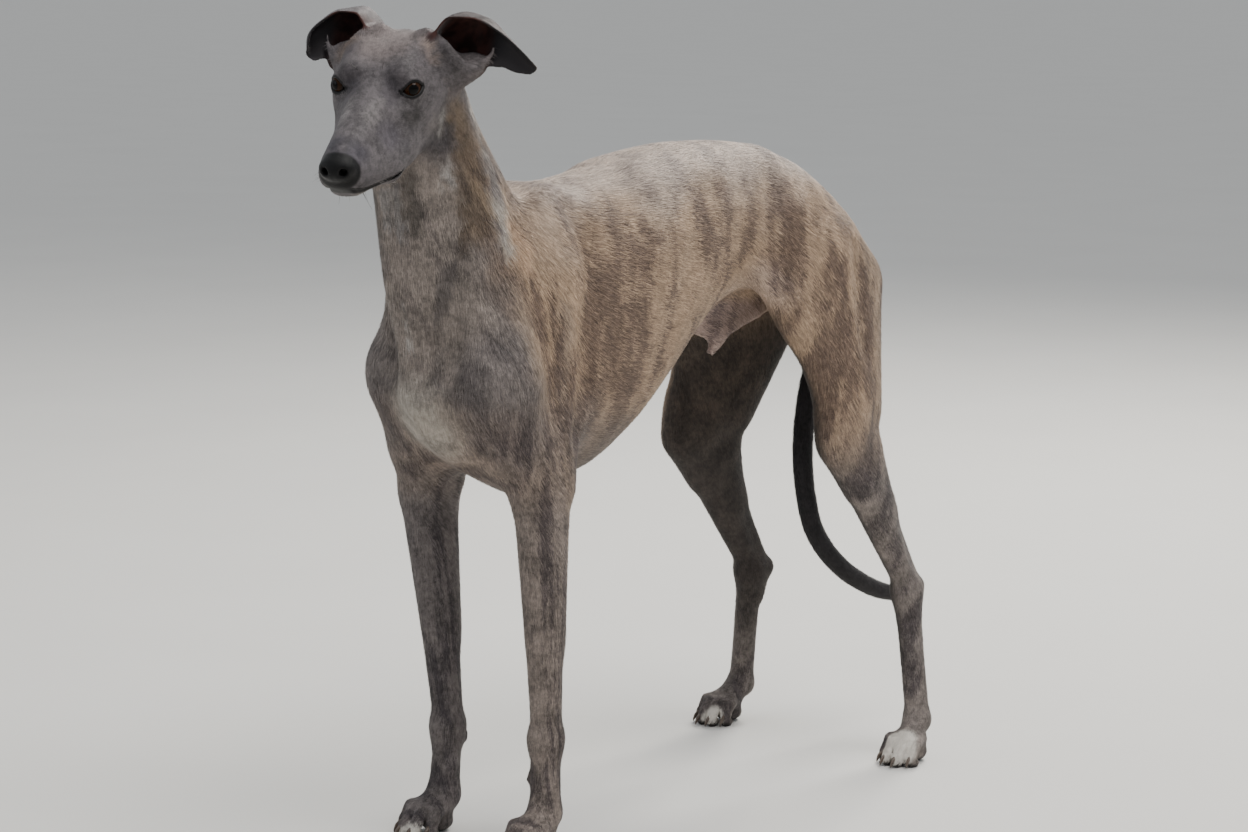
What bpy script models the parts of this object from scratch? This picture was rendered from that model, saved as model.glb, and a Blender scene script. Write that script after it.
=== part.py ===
"""A life-size standing greyhound, as a still museum model.

The dog faces -Y, its left side is +X and the floor is at z = 0. Its surface is the zero level of a
smooth distance field: tapered rods and ellipsoids for bones and muscles, and a loft for the trunk,
blended one after another. Each named part of the dog is a closed mesh of that field, thinned and
then parted from its neighbours by flat cuts that leave a narrow gap.
"""

import math

import bmesh
import bpy
import numpy as np
from mathutils import Matrix, Vector

# Driving sizes, in metres
GAP = 0.0004             # between two parts that touch
EYE_RADIUS = 0.0122
EAR_LEATHER = 0.0022     # thickness of an ear
CUT_MARGIN = 0.012       # a part's mesh reaches this far past its cuts before they are made
BLOCK = 4                # the field is worked out in full only in blocks of this many steps near the surface
REACH = 0.016            # a form is left out farther than this from its box, beyond its blend

# Where the model's frame lies: the middle of the model's box, seen from above
CENTRE = (0.0015, -0.0645)

# Joints of the left legs and the right legs, which stand a little differently
LEFT, RIGHT = 1, -1
SHOULDER = {LEFT: (0.080, -0.338, 0.528), RIGHT: (-0.080, -0.338, 0.526)}
ELBOW = {LEFT: (0.066, -0.259, 0.376), RIGHT: (-0.096, -0.268, 0.367)}
CARPUS = {LEFT: (0.071, -0.264, 0.118), RIGHT: (-0.066, -0.279, 0.113)}
FORE_PAW = {LEFT: (0.077, -0.283, 0.0), RIGHT: (-0.064, -0.303, 0.0)}
HIP = {LEFT: (0.064, 0.262, 0.607), RIGHT: (-0.064, 0.262, 0.607)}
STIFLE = {LEFT: (0.107, 0.200, 0.410), RIGHT: (-0.106, 0.167, 0.398)}
FORE_TURN, HIND_TURN = math.radians(8), math.radians(13)     # the legs turn outwards
HOCK = {LEFT: (0.121, 0.320, 0.200), RIGHT: (-0.107, 0.296, 0.198)}
TOE_JOINT = {LEFT: (0.142, 0.317, 0.048), RIGHT: (-0.139, 0.319, 0.048)}
HIND_PAW = {LEFT: (0.149, 0.296, 0.0), RIGHT: (-0.145, 0.298, 0.0)}

# The head's frame: x to its left, y along the face, z up, from the point between the eyes
HEAD_PLACE = (0.030, -0.472, 0.838)
HEAD_TURN, HEAD_DROP, HEAD_TILT = (math.radians(a) for a in (27.0, 14.0, -2.5))
EYE_PLACE = (0.0354, -0.007, 0.0)
EYE_TURN = math.radians(38)      # each eye looks this far outwards
EYE_LIFT = math.radians(4)
EYE_OPENING = (math.radians(57), math.radians(33), math.radians(6), EYE_RADIUS - 0.001)    # between the lids
FACE_REACH = 0.026               # how far from eyes and nose the mesh of the face stays finer
SHARP = math.radians(50)         # edges keener than this stay sharp when the rest is shaded smooth

# The trunk, front to back: y, height of the back, of the widest place and of the belly, half width
TRUNK = (
    (-0.386, 0.530, 0.508, 0.486, 0.006),
    (-0.374, 0.566, 0.510, 0.462, 0.030),
    (-0.348, 0.610, 0.515, 0.438, 0.050),
    (-0.315, 0.655, 0.530, 0.416, 0.067),
    (-0.270, 0.698, 0.545, 0.398, 0.083),
    (-0.220, 0.717, 0.555, 0.389, 0.095),
    (-0.160, 0.726, 0.565, 0.396, 0.102),
    (-0.100, 0.738, 0.588, 0.425, 0.102),
    (-0.040, 0.750, 0.615, 0.472, 0.094),
    (0.020, 0.756, 0.645, 0.524, 0.082),
    (0.080, 0.755, 0.662, 0.562, 0.072),
    (0.140, 0.748, 0.660, 0.574, 0.068),
    (0.200, 0.732, 0.648, 0.570, 0.070),
    (0.250, 0.704, 0.635, 0.562, 0.067),
    (0.290, 0.674, 0.618, 0.556, 0.056),
    (0.318, 0.648, 0.606, 0.562, 0.040),
    (0.332, 0.618, 0.600, 0.582, 0.008),
)
BACK_ROUNDNESS, KEEL_ROUNDNESS = 2.25, 1.85    # exponents of the section above and below

# The neck's middle line from the chest to the skull: place, half depth, half width
NECK = (
    ((0.0, -0.236, 0.520), 0.070, 0.052),
    ((0.0, -0.272, 0.590), 0.106, 0.070),
    ((0.0, -0.326, 0.668), 0.086, 0.065),
    ((-0.003, -0.348, 0.735), 0.068, 0.057),
    ((-0.007, -0.365, 0.795), 0.053, 0.049),
    ((-0.010, -0.380, 0.850), 0.041, 0.042),
)

TAIL_CUT = ((0, 0.329, 0.598), (0, -0.25, 0.97))     # where the tail meets its root
TAIL_ROOM = 0.002                                      # between the tail and the thighs

# Rows of an ear in the head's frame, root to tip: upper edge, middle of its back, lower edge
EAR = {
    LEFT: (
        ((0.036, -0.062, 0.022), (0.034, -0.100, 0.012), (0.040, -0.074, -0.018)),
        ((0.049, -0.058, 0.046), (0.058, -0.108, 0.032), (0.066, -0.078, -0.014)),
        ((0.064, -0.062, 0.060), (0.080, -0.108, 0.044), (0.084, -0.078, -0.004)),
        ((0.084, -0.070, 0.058), (0.101, -0.098, 0.042), (0.099, -0.076, 0.006)),
        ((0.108, -0.078, 0.044), (0.118, -0.090, 0.028), (0.112, -0.080, 0.005)),
        ((0.130, -0.084, 0.023), (0.131, -0.090, 0.011), (0.125, -0.084, -0.001)),
        ((0.146, -0.089, 0.003), (0.144, -0.091, -0.001), (0.139, -0.089, -0.004)),
    ),
    RIGHT: (
        ((-0.022, -0.066, 0.024), (-0.018, -0.102, 0.016), (-0.038, -0.064, -0.014)),
        ((-0.032, -0.068, 0.045), (-0.028, -0.110, 0.032), (-0.054, -0.064, -0.004)),
        ((-0.042, -0.070, 0.057), (-0.046, -0.110, 0.044), (-0.068, -0.060, 0.000)),
        ((-0.058, -0.068, 0.058), (-0.068, -0.092, 0.044), (-0.072, -0.058, 0.010)),
        ((-0.074, -0.062, 0.050), (-0.084, -0.074, 0.035), (-0.076, -0.054, 0.011)),
        ((-0.087, -0.057, 0.037), (-0.094, -0.064, 0.024), (-0.083, -0.052, 0.009)),
        ((-0.092, -0.054, 0.016), (-0.091, -0.056, 0.012), (-0.086, -0.053, 0.010)),
    ),
}

# The rim of each ear's cup in the head's frame, from its front edge round below to the pocket: place and radius
EAR_RIM = {
    LEFT: (
        ((0.0475, -0.0600, 0.0400), 0.0030),
        ((0.0600, -0.0560, 0.0310), 0.0042),
        ((0.0710, -0.0560, 0.0150), 0.0050),
        ((0.0820, -0.0620, 0.0060), 0.0050),
        ((0.0930, -0.0700, 0.0100), 0.0040),
        ((0.1025, -0.0770, 0.0190), 0.0028),
        ((0.1045, -0.0790, 0.0265), 0.0018),
    ),
    RIGHT: (
        ((-0.0300, -0.0660, 0.0400), 0.0026),
        ((-0.0390, -0.0580, 0.0290), 0.0040),
        ((-0.0500, -0.0545, 0.0140), 0.0045),
        ((-0.0600, -0.0560, 0.0110), 0.0038),
        ((-0.0680, -0.0590, 0.0200), 0.0028),
        ((-0.0710, -0.0615, 0.0275), 0.0020),
        ((-0.0718, -0.0635, 0.0335), 0.0016),
    ),
}

# The flesh between the head and each cup: ends and radii
EAR_ROOT = {
    LEFT: (
        ((0.040, -0.070, 0.006), (0.056, -0.066, 0.008), 0.022, 0.014),
        ((0.044, -0.078, -0.012), (0.084, -0.080, 0.006), 0.024, 0.0095),
    ),
    RIGHT: (
        ((-0.030, -0.072, 0.008), (-0.040, -0.066, 0.010), 0.020, 0.012),
        ((-0.036, -0.070, -0.008), (-0.056, -0.064, 0.000), 0.020, 0.009),
    ),
}

# The tail's middle line: place and radius
TAIL = (
    ((0.000, 0.300, 0.644), 0.0200),
    ((-0.001, 0.326, 0.612), 0.0186),
    ((-0.005, 0.334, 0.565), 0.0164),
    ((-0.011, 0.312, 0.490), 0.0140),
    ((-0.011, 0.287, 0.420), 0.0126),
    ((-0.008, 0.277, 0.350), 0.0121),
    ((-0.003, 0.287, 0.278), 0.0119),
    ((0.006, 0.332, 0.216), 0.0115),
    ((0.016, 0.402, 0.175), 0.0104),
    ((0.022, 0.452, 0.161), 0.0074),
)

TRIANGLES = {
    "head": 5200, "neck": 700, "torso": 2600, "tail": 520,
    "foreleg_left": 1500, "foreleg_right": 1500, "hindleg_left": 1500, "hindleg_right": 1500,
}


# Vectors and frames

def vec(*xyz):
    return np.array(xyz, float)


def between(a, b, share):
    """The point that far along the way from a to b."""
    return tuple(np.array(a, float) * (1 - share) + np.array(b, float) * share)


def moved(place, *by):
    return tuple(np.array(place, float) + np.array(by, float))


def head_axes():
    """The head's left, forward and up directions, as the columns of a matrix."""
    forward = vec(math.sin(HEAD_TURN), -math.cos(HEAD_TURN), 0)
    left = vec(math.cos(HEAD_TURN), math.sin(HEAD_TURN), 0)
    up = vec(0, 0, 1)
    down_forward = forward * math.cos(HEAD_DROP) - up * math.sin(HEAD_DROP)
    lifted = forward * math.sin(HEAD_DROP) + up * math.cos(HEAD_DROP)
    return np.stack([
        left * math.cos(HEAD_TILT) + lifted * math.sin(HEAD_TILT),
        down_forward,
        lifted * math.cos(HEAD_TILT) - left * math.sin(HEAD_TILT),
    ], axis=1)


HEAD_AXES = head_axes()


def in_head(x, y, z):
    """A point of the head's frame, in the model's."""
    return tuple(vec(*HEAD_PLACE) + HEAD_AXES @ vec(x, y, z))


def eye_axes(side):
    """An eye's outward, forward and up directions, in the model's frame."""
    forward = vec(side * math.sin(EYE_TURN), math.cos(EYE_TURN), 0)
    outward = vec(side * math.cos(EYE_TURN), -math.sin(EYE_TURN), 0)
    up = vec(0, 0, 1)
    looking = forward * math.cos(EYE_LIFT) + up * math.sin(EYE_LIFT)
    risen = up * math.cos(EYE_LIFT) - forward * math.sin(EYE_LIFT)
    return HEAD_AXES @ np.stack([outward, looking, risen], axis=1)


def eye_centre(side):
    return in_head(side * EYE_PLACE[0], EYE_PLACE[1], EYE_PLACE[2])


# Forms of the field. Each gives distances at x, y, z and the box that holds its surface.

class Rod:
    """A rod from a to b that tapers, may bulge in the middle, and may be thinner across one direction."""

    def __init__(self, a, b, ra, rb, bulge=0.0, across=None, thin=(1.0, 1.0)):
        self.a, self.b, self.ra, self.rb, self.bulge = vec(*a), vec(*b), ra, rb, bulge
        self.across = None if across is None else vec(*across) / np.linalg.norm(across)
        self.thin = thin

    def box(self):
        reach = max(self.ra, self.rb) + abs(self.bulge)
        return np.minimum(self.a, self.b) - reach, np.maximum(self.a, self.b) + reach

    def distance(self, p):
        along = self.b - self.a
        long = np.linalg.norm(along)
        lean = np.clip((self.ra - self.rb) / long, -0.9, 0.9)
        down = (p - self.a) @ along / long
        aside = np.sqrt(np.maximum(((p - self.a) ** 2).sum(1) - down * down, 0))
        share = np.clip((down - aside * lean / math.sqrt(1 - lean * lean)) / long, 0, 1)
        off = p - self.a - share[:, None] * along
        radius = self.ra + (self.rb - self.ra) * share + self.bulge * 4 * share * (1 - share)
        far = np.sqrt((off * off).sum(1)) + 1e-7
        if self.across is None:
            return far - radius
        squeeze = self.thin[0] + (self.thin[1] - self.thin[0]) * share
        flat = off @ self.across
        return far - radius * far / np.sqrt(far * far + flat * flat * (squeeze * squeeze - 1))


class Chain:
    """A smooth round cord through places with their radii."""

    def __init__(self, stations, pieces):
        at = np.arange(len(stations), dtype=float)
        rows = np.array([(*place, radius) for place, radius in stations])
        t = np.linspace(0, at[-1], pieces + 1)
        self.fine = np.stack([smooth_curve(at, rows[:, k])(t) for k in range(4)], 1)

    def box(self):
        reach = self.fine[:, 3:]
        return (self.fine[:, :3] - reach).min(0), (self.fine[:, :3] + reach).max(0)

    def distance(self, p):
        near, place = np.full(len(p), np.inf), np.zeros(len(p))
        for i, (a, b) in enumerate(zip(self.fine[:, :3], self.fine[1:, :3])):
            along = b - a
            share = np.clip((p - a) @ along / (along @ along), 0, 1)
            step = p - a - share[:, None] * along
            far = (step * step).sum(1)
            closer = far < near
            near[closer], place[closer] = far[closer], i + share[closer]
        return np.sqrt(near) - np.interp(place, np.arange(len(self.fine)), self.fine[:, 3])


class Column:
    """A smooth limb along a straight axis: oval sections, whose middle may stray from the axis."""

    def __init__(self, stations, across):
        places = np.array([place for place, _, _ in stations], float)
        self.start = places[0]
        self.axis = (places[-1] - places[0]) / np.linalg.norm(places[-1] - places[0])
        self.across = vec(*across) - self.axis * (vec(*across) @ self.axis)
        self.across /= np.linalg.norm(self.across)
        self.deep = np.cross(self.axis, self.across)
        off = places - self.start
        self.at = off @ self.axis
        sizes = np.array([(wide, depth) for _, depth, wide in stations])
        self.curves = [smooth_curve(self.at, v) for v in (off @ self.across, off @ self.deep, *sizes.T)]
        self.reach = sizes.max()
        self.places = places

    def box(self):
        return self.places.min(0) - self.reach, self.places.max(0) + self.reach

    def distance(self, p):
        q = p - self.start
        t = np.clip(q @ self.axis, 0, self.at[-1])
        aside, ahead, wide, depth = (curve(t) for curve in self.curves)
        u, v = q @ self.across - aside, q @ self.deep - ahead
        size = np.sqrt((u / wide) ** 2 + (v / depth) ** 2) + 1e-6
        out = np.sqrt(u * u + v * v)
        past = np.abs(q @ self.axis - t)
        return np.where(past > 0, np.sqrt(np.maximum(out - out / size, 0) ** 2 + past ** 2), out - out / size)


class Below:
    """A form cut off by a plane, whose normal points to the side that goes."""

    def __init__(self, form, point, normal):
        self.form, self.point, self.normal = form, vec(*point), vec(*normal) / np.linalg.norm(normal)

    def box(self):
        return self.form.box()

    def distance(self, p):
        return np.maximum(self.form.distance(p), (p - self.point) @ self.normal)


class Ball:
    """An ellipsoid with its radii along the columns of axes."""

    def __init__(self, centre, radii, axes=None):
        self.centre, self.radii = vec(*centre), vec(*radii)
        self.axes = np.eye(3) if axes is None else np.array(axes, float)

    def box(self):
        reach = np.sqrt(((self.axes * self.radii) ** 2).sum(1))
        return self.centre - reach, self.centre + reach

    def distance(self, p):
        q = (p - self.centre) @ self.axes
        near = np.sqrt(((q / self.radii) ** 2).sum(1)) + 1e-9
        slope = np.sqrt(((q / self.radii ** 2) ** 2).sum(1)) + 1e-9
        return near * (near - 1) / slope


class Barrel:
    """The trunk: sections across y, each round above its widest place and keeled below it."""

    def __init__(self, rows):
        self.rows = np.array(rows, float)
        self.curves = [smooth_curve(self.rows[:, 0], self.rows[:, k]) for k in range(1, 5)]

    def box(self):
        wide = self.rows[:, 4].max()
        return (
            vec(-wide, self.rows[0, 0], self.rows[:, 3].min()),
            vec(wide, self.rows[-1, 0], self.rows[:, 1].max()),
        )

    def distance(self, p):
        y = np.clip(p[:, 1], self.rows[0, 0], self.rows[-1, 0])
        top, mid, low, half = (curve(y) for curve in self.curves)
        rise = p[:, 2] - mid
        above = rise > 0
        tall = np.maximum(np.where(above, top - mid, mid - low), 0.004)
        n = np.where(above, BACK_ROUNDNESS, KEEL_ROUNDNESS)
        half = np.maximum(half, 0.004)
        size = ((np.abs(p[:, 0]) / half) ** n + (np.abs(rise) / tall) ** n) ** (1 / n) + 1e-6
        out = np.sqrt(p[:, 0] ** 2 + rise ** 2)
        past = np.abs(p[:, 1] - y)
        return np.where(past > 0, np.sqrt(np.maximum(out - out / size, 0) ** 2 + past ** 2), out - out / size)


class Opening:
    """The almond between the lids: a cone from the eye's centre, wide by tall in radians."""

    def __init__(self, side, wide, tall, lift, start):
        self.centre, self.axes, self.shift = vec(*eye_centre(side)), eye_axes(side), side * math.radians(4)
        self.wide, self.tall, self.lift, self.start = wide, tall, lift, start

    def box(self):
        ahead = self.centre + self.axes[:, 1] * EYE_RADIUS
        return ahead - EYE_RADIUS * 1.3, ahead + EYE_RADIUS * 1.3

    def distance(self, p):
        q = (p - self.centre) @ self.axes
        far = np.sqrt((q * q).sum(1)) + 1e-9
        aside = (np.arctan2(q[:, 0], q[:, 1]) - self.shift) / self.wide
        corner = np.clip(1 - aside * aside, 0, 1)
        upper = self.tall * corner + self.lift * aside
        lower = -self.tall * 0.8 * corner + self.lift * aside
        height = np.arcsin(np.clip(q[:, 2] / far, -1, 1))
        past = np.maximum(np.maximum(height - upper, lower - height), (np.abs(aside) - 1) * self.wide)
        return np.maximum(past * far, self.start - far)


class LipLine:
    """The mouth's slit: a thin sheet that follows the lips from one corner round the chin to the other."""

    def __init__(self, half_gap, depth):
        self.half_gap, self.depth = half_gap, depth

    def box(self):
        corners = [vec(*in_head(x, y, z)) for x in (-0.037, 0.037) for y in (0.03, 0.13) for z in (-0.082, -0.062)]
        return np.min(corners, axis=0), np.max(corners, axis=0)

    def distance(self, p):
        q = (p - vec(*HEAD_PLACE)) @ HEAD_AXES
        sheet = np.abs(q[:, 2] - lip_height(q[:, 1])) - self.half_gap
        inner = np.abs(q[:, 0]) - lip_half_width(q[:, 1]) + self.depth
        behind = MOUTH_CORNER - q[:, 1]
        ahead_core = np.maximum(inner, q[:, 1] - MOUTH_FRONT + self.depth)
        return np.maximum(np.maximum(sheet, behind), -ahead_core)


MOUTH_CORNER, MOUTH_FRONT = 0.034, 0.130


def lip_height(y):
    """Height of the line between the lips in the head's frame, lowest under the middle of the muzzle."""
    share = np.clip((y - MOUTH_CORNER) / (MOUTH_FRONT - MOUTH_CORNER), 0, 1)
    return -0.0757 - 0.0130 * share * (1 - share) + 0.0087 * share ** 3


def lip_half_width(y):
    share = np.clip((y - MOUTH_CORNER) / (MOUTH_FRONT - MOUTH_CORNER), 0, 1)
    return 0.036 - 0.020 * share - 0.003 * share ** 4


def smooth_curve(at, values):
    """A function through the values that neither overshoots nor kinks."""
    step = np.diff(at)
    slope = np.diff(values) / step
    lean = np.zeros(len(at))
    same = slope[:-1] * slope[1:] > 0
    w1, w2 = 2 * step[1:] + step[:-1], step[1:] + 2 * step[:-1]
    with np.errstate(divide="ignore", invalid="ignore"):
        mean = (w1 + w2) / (w1 / slope[:-1] + w2 / slope[1:])
    lean[1:-1] = np.where(same, mean, 0)
    lean[0], lean[-1] = slope[0], slope[-1]

    def curve(t):
        i = np.clip(np.searchsorted(at, t) - 1, 0, len(step) - 1)
        s = (t - at[i]) / step[i]
        return (
            values[i] * (1 + 2 * s) * (1 - s) ** 2 + values[i + 1] * s * s * (3 - 2 * s)
            + step[i] * (lean[i] * s * (1 - s) ** 2 - lean[i + 1] * s * s * (1 - s))
        )

    return curve


class Clay:
    """Forms added or carved one after another, each with its own softness of blend."""

    def __init__(self):
        self.steps = []

    def add(self, form, blend=0.012):
        self.steps.append((form, blend, 1))

    def carve(self, form, blend=0.002):
        self.steps.append((form, blend, -1))

    def distance(self, points):
        found = np.full(len(points), 1.0)
        for form, blend, sign in self.steps:
            low, high = form.box()
            margin = blend + REACH
            near = np.flatnonzero(((points > low - margin) & (points < high + margin)).all(1))
            if not len(near):
                continue
            other = form.distance(points[near])
            mine = found[near]
            if sign > 0:
                soft = np.maximum(blend - np.abs(mine - other), 0) / blend
                found[near] = np.minimum(mine, other) - soft * soft * blend / 4
            else:
                soft = np.maximum(blend - np.abs(mine + other), 0) / blend
                found[near] = np.maximum(mine, -other) + soft * soft * blend / 4
        return found


# The dog

def add_trunk(clay):
    clay.add(Barrel(TRUNK), 0.02)
    clay.add(Rod((0, -0.366, 0.505), (0, -0.250, 0.402), 0.024, 0.012), 0.03)      # breastbone
    clay.add(Rod((0, -0.235, 0.706), (0, -0.130, 0.716), 0.010, 0.010), 0.02)      # withers
    for side in (LEFT, RIGHT):
        clay.add(Rod((side * 0.030, 0.190, 0.700), (side * 0.044, 0.212, 0.678), 0.012, 0.016), 0.02)  # hip bone
        clay.add(Rod((side * 0.030, -0.08, 0.708), (side * 0.028, 0.14, 0.718), 0.020, 0.018), 0.03)   # loin
        clay.add(Rod((side * 0.026, 0.290, 0.625), (side * 0.046, 0.308, 0.585), 0.024, 0.022), 0.02)  # seat


def add_neck(clay):
    clay.add(Column(NECK, (1, 0, 0)), 0.02)
    for side in (LEFT, RIGHT):
        top = in_head(side * 0.034, -0.100, -0.020)
        clay.add(Rod(top, (side * 0.044, -0.340, 0.560), 0.018, 0.025), 0.03)      # muscle down to the shoulder
    clay.add(Rod((-0.012, -0.416, 0.776), (-0.006, -0.376, 0.560), 0.019, 0.025), 0.03)  # windpipe


def behind(place, side, turn, back, up=0.0):
    """A place behind another, for a leg turned outwards."""
    return moved(place, -side * math.sin(turn) * back, math.cos(turn) * back, up)


def add_foreleg(clay, side):
    shoulder, elbow, carpus, paw = SHOULDER[side], ELBOW[side], CARPUS[side], FORE_PAW[side]
    flat = (math.cos(FORE_TURN), side * math.sin(FORE_TURN), 0)

    def rod(a, b, ra, rb, blend, thin=None, bulge=0.0):
        clay.add(Rod(a, b, ra, rb, bulge, None if thin is None else flat, thin or (1, 1)), blend)

    def back(place, far, up=0.0):
        return behind(place, side, FORE_TURN, far, up)

    rod((side * 0.036, -0.225, 0.690), moved(shoulder, -side * 0.010, 0.010, 0), 0.031, 0.036, 0.035, (1.6, 1.3))
    rod((side * 0.045, -0.312, 0.650), moved(shoulder, -side * 0.007, 0.004, 0.01), 0.026, 0.030, 0.04, (1.3, 1.2))
    rod(moved(shoulder, -side * 0.010, 0.008, -0.02), moved(elbow, 0, -0.006, 0.026), 0.038, 0.035, 0.045, (1.2, 1.1))
    rod((side * 0.014, -0.346, 0.518), moved(elbow, -side * 0.020, -0.024, 0.075), 0.030, 0.030, 0.045)
    rod((side * 0.061, -0.232, 0.600), back(elbow, 0.003, 0.036), 0.049, 0.027, 0.028, (1.45, 1.15), 0.002)
    rod(back(elbow, 0.010, 0.014), back(elbow, 0.021, 0.002), 0.012, 0.0090, 0.012)
    rod(back(elbow, -0.009, 0.010), moved(carpus, 0, 0, 0.012), 0.0305, 0.0180, 0.02, (1.15, 1.0), -0.0005)
    rod(moved(elbow, side * 0.003, -0.012, 0.0), between(elbow, carpus, 0.55), 0.020, 0.012, 0.02)
    rod(back(elbow, 0.008, -0.02), back(between(elbow, carpus, 0.62), 0.004), 0.016, 0.009, 0.02)
    clay.add(Ball(moved(carpus, 0, -0.002, 0.0), (0.0185, 0.0190, 0.0230)), 0.014)
    clay.add(Ball(back(carpus, 0.0195, -0.012), (0.0070, 0.0080, 0.0090)), 0.008)     # stopper pad
    wrist = moved(paw, -side * 0.002, 0.012, 0.040)
    rod(carpus, wrist, 0.0165, 0.0175, 0.014)
    inner = between(carpus, wrist, 0.40)
    dew_root, dew_tip = moved(inner, -side * 0.0120, -0.002, 0.004), moved(inner, -side * 0.0165, -0.008, -0.012)
    rod(dew_root, dew_tip, 0.0060, 0.0050, 0.006)
    add_paw(clay, paw, wrist, 1.0)


def add_hindleg(clay, side):
    hip, stifle, hock = HIP[side], STIFLE[side], HOCK[side]
    toe_joint, paw = TOE_JOINT[side], HIND_PAW[side]
    flat = (math.cos(HIND_TURN), side * math.sin(HIND_TURN), 0)

    def rod(a, b, ra, rb, blend, thin=None):
        clay.add(Rod(a, b, ra, rb, 0.0, None if thin is None else flat, thin or (1, 1)), blend)

    def back(place, far, up=0.0):
        return behind(place, side, HIND_TURN, far, up)

    inside = moved(stifle, -side * 0.004, 0, 0)
    rod(moved(hip, -side * 0.002, -0.030, -0.014), back(inside, 0.030, 0.032), 0.070, 0.048, 0.03, (1.65, 1.45))
    rod((side * 0.057, 0.284, 0.566), back(inside, 0.069, 0.014), 0.050, 0.031, 0.025, (1.4, 1.3))
    rod((side * 0.048, 0.165, 0.650), (side * 0.072, 0.172, 0.560), 0.034, 0.034, 0.04, (1.6, 1.6))
    rod((side * 0.052, 0.132, 0.600), back(inside, 0.012, 0.045), 0.022, 0.022, 0.035, (1.9, 1.6))   # flank fold
    clay.add(Ball(moved(stifle, 0, 0.002, 0.004), (0.021, 0.024, 0.033)), 0.03)
    rod(back(stifle, -0.006, -0.020), back(between(stifle, hock, 0.34), -0.010), 0.0160, 0.0120, 0.02)
    rod(back(stifle, 0.014, -0.008), moved(hock, 0, -0.004, 0.012), 0.0345, 0.0145, 0.022, (1.35, 1.05))
    calf, low_calf = between(stifle, hock, 0.18), between(stifle, hock, 0.55)
    rod(back(calf, 0.036, 0.004), back(low_calf, 0.022, 0.012), 0.030, 0.014, 0.022, (1.35, 1.2))
    heel = back(hock, 0.0225, 0.0040)
    rod(back(between(stifle, hock, 0.50), 0.024, 0.014), heel, 0.0110, 0.0085, 0.012)
    rod(back(between(stifle, hock, 0.62), 0.015, 0.008), back(hock, 0.012, 0.018), 0.012, 0.009, 0.010, (3.4, 3.0))
    clay.add(Ball(heel, (0.0100, 0.0095, 0.0115)), 0.010)
    rod(heel, back(hock, 0.008, -0.030), 0.0095, 0.0110, 0.012)
    clay.add(Ball(moved(hock, 0, -0.001, 0.002), (0.0185, 0.0185, 0.0230)), 0.014)
    rod(hock, toe_joint, 0.0165, 0.0150, 0.014)
    add_paw(clay, paw, moved(toe_joint, 0, -0.002, -0.004), 0.95)


TOES = ((-0.0205, 0.028), (-0.0075, 0.041), (0.0075, 0.041), (0.0205, 0.028))   # aside and forward


def add_paw(clay, place, root, scale):
    """Four arched toes with pads and claws, and the heel pad, all cut level with the floor later."""
    def at(aside, ahead, up):
        return moved(place, aside * scale, -ahead * scale, up * scale)

    clay.add(Rod(root, at(0, 0.006, 0.030), 0.0165 * scale, 0.0150 * scale), 0.012)
    for aside, ahead in TOES:
        knuckle = at(aside * 0.95, ahead * 0.62, 0.0285)
        tip = at(aside * 1.06, ahead, 0.0125)
        clay.add(Rod(at(aside * 0.55, -0.004, 0.030), knuckle, 0.0085 * scale, 0.0082 * scale), 0.008)
        clay.add(Rod(knuckle, tip, 0.0080 * scale, 0.0072 * scale), 0.0035)
        clay.add(Ball(at(aside * 1.05, ahead - 0.003, 0.0045), (0.0075 * scale, 0.0110 * scale, 0.0062 * scale)), 0.004)
        clay.add(Rod(at(aside * 1.08, ahead + 0.004, 0.0120), at(aside * 1.12, ahead + 0.0135, 0.0045),
                     0.0030 * scale, 0.0012 * scale), 0.0015)
    clay.add(Ball(at(0, -0.003, 0.0110), (0.0185 * scale, 0.0185 * scale, 0.0125 * scale)), 0.012)


def tail_form(extra=0.0):
    return Chain([(place, radius + extra) for place, radius in TAIL], 44)


def add_sheath(clay):
    """The sheath under the belly, with its fold of skin and its tip hanging free."""
    sideways = (1, 0, 0)
    clay.add(Rod((0, 0.070, 0.560), (0, 0.190, 0.562), 0.022, 0.020, across=sideways, thin=(2.2, 1.8)), 0.02)
    clay.add(Rod((0, 0.172, 0.548), (0, 0.104, 0.524), 0.0100, 0.0095, across=sideways, thin=(1.2, 1.2)), 0.014)
    clay.add(Rod((0, 0.106, 0.520), (0, 0.088, 0.501), 0.0100, 0.0060, across=sideways, thin=(1.5, 1.3)), 0.008)
    clay.add(Rod((0, 0.104, 0.530), (0, 0.046, 0.532), 0.0120, 0.0080, across=sideways, thin=(2.0, 2.2)), 0.012)


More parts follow.
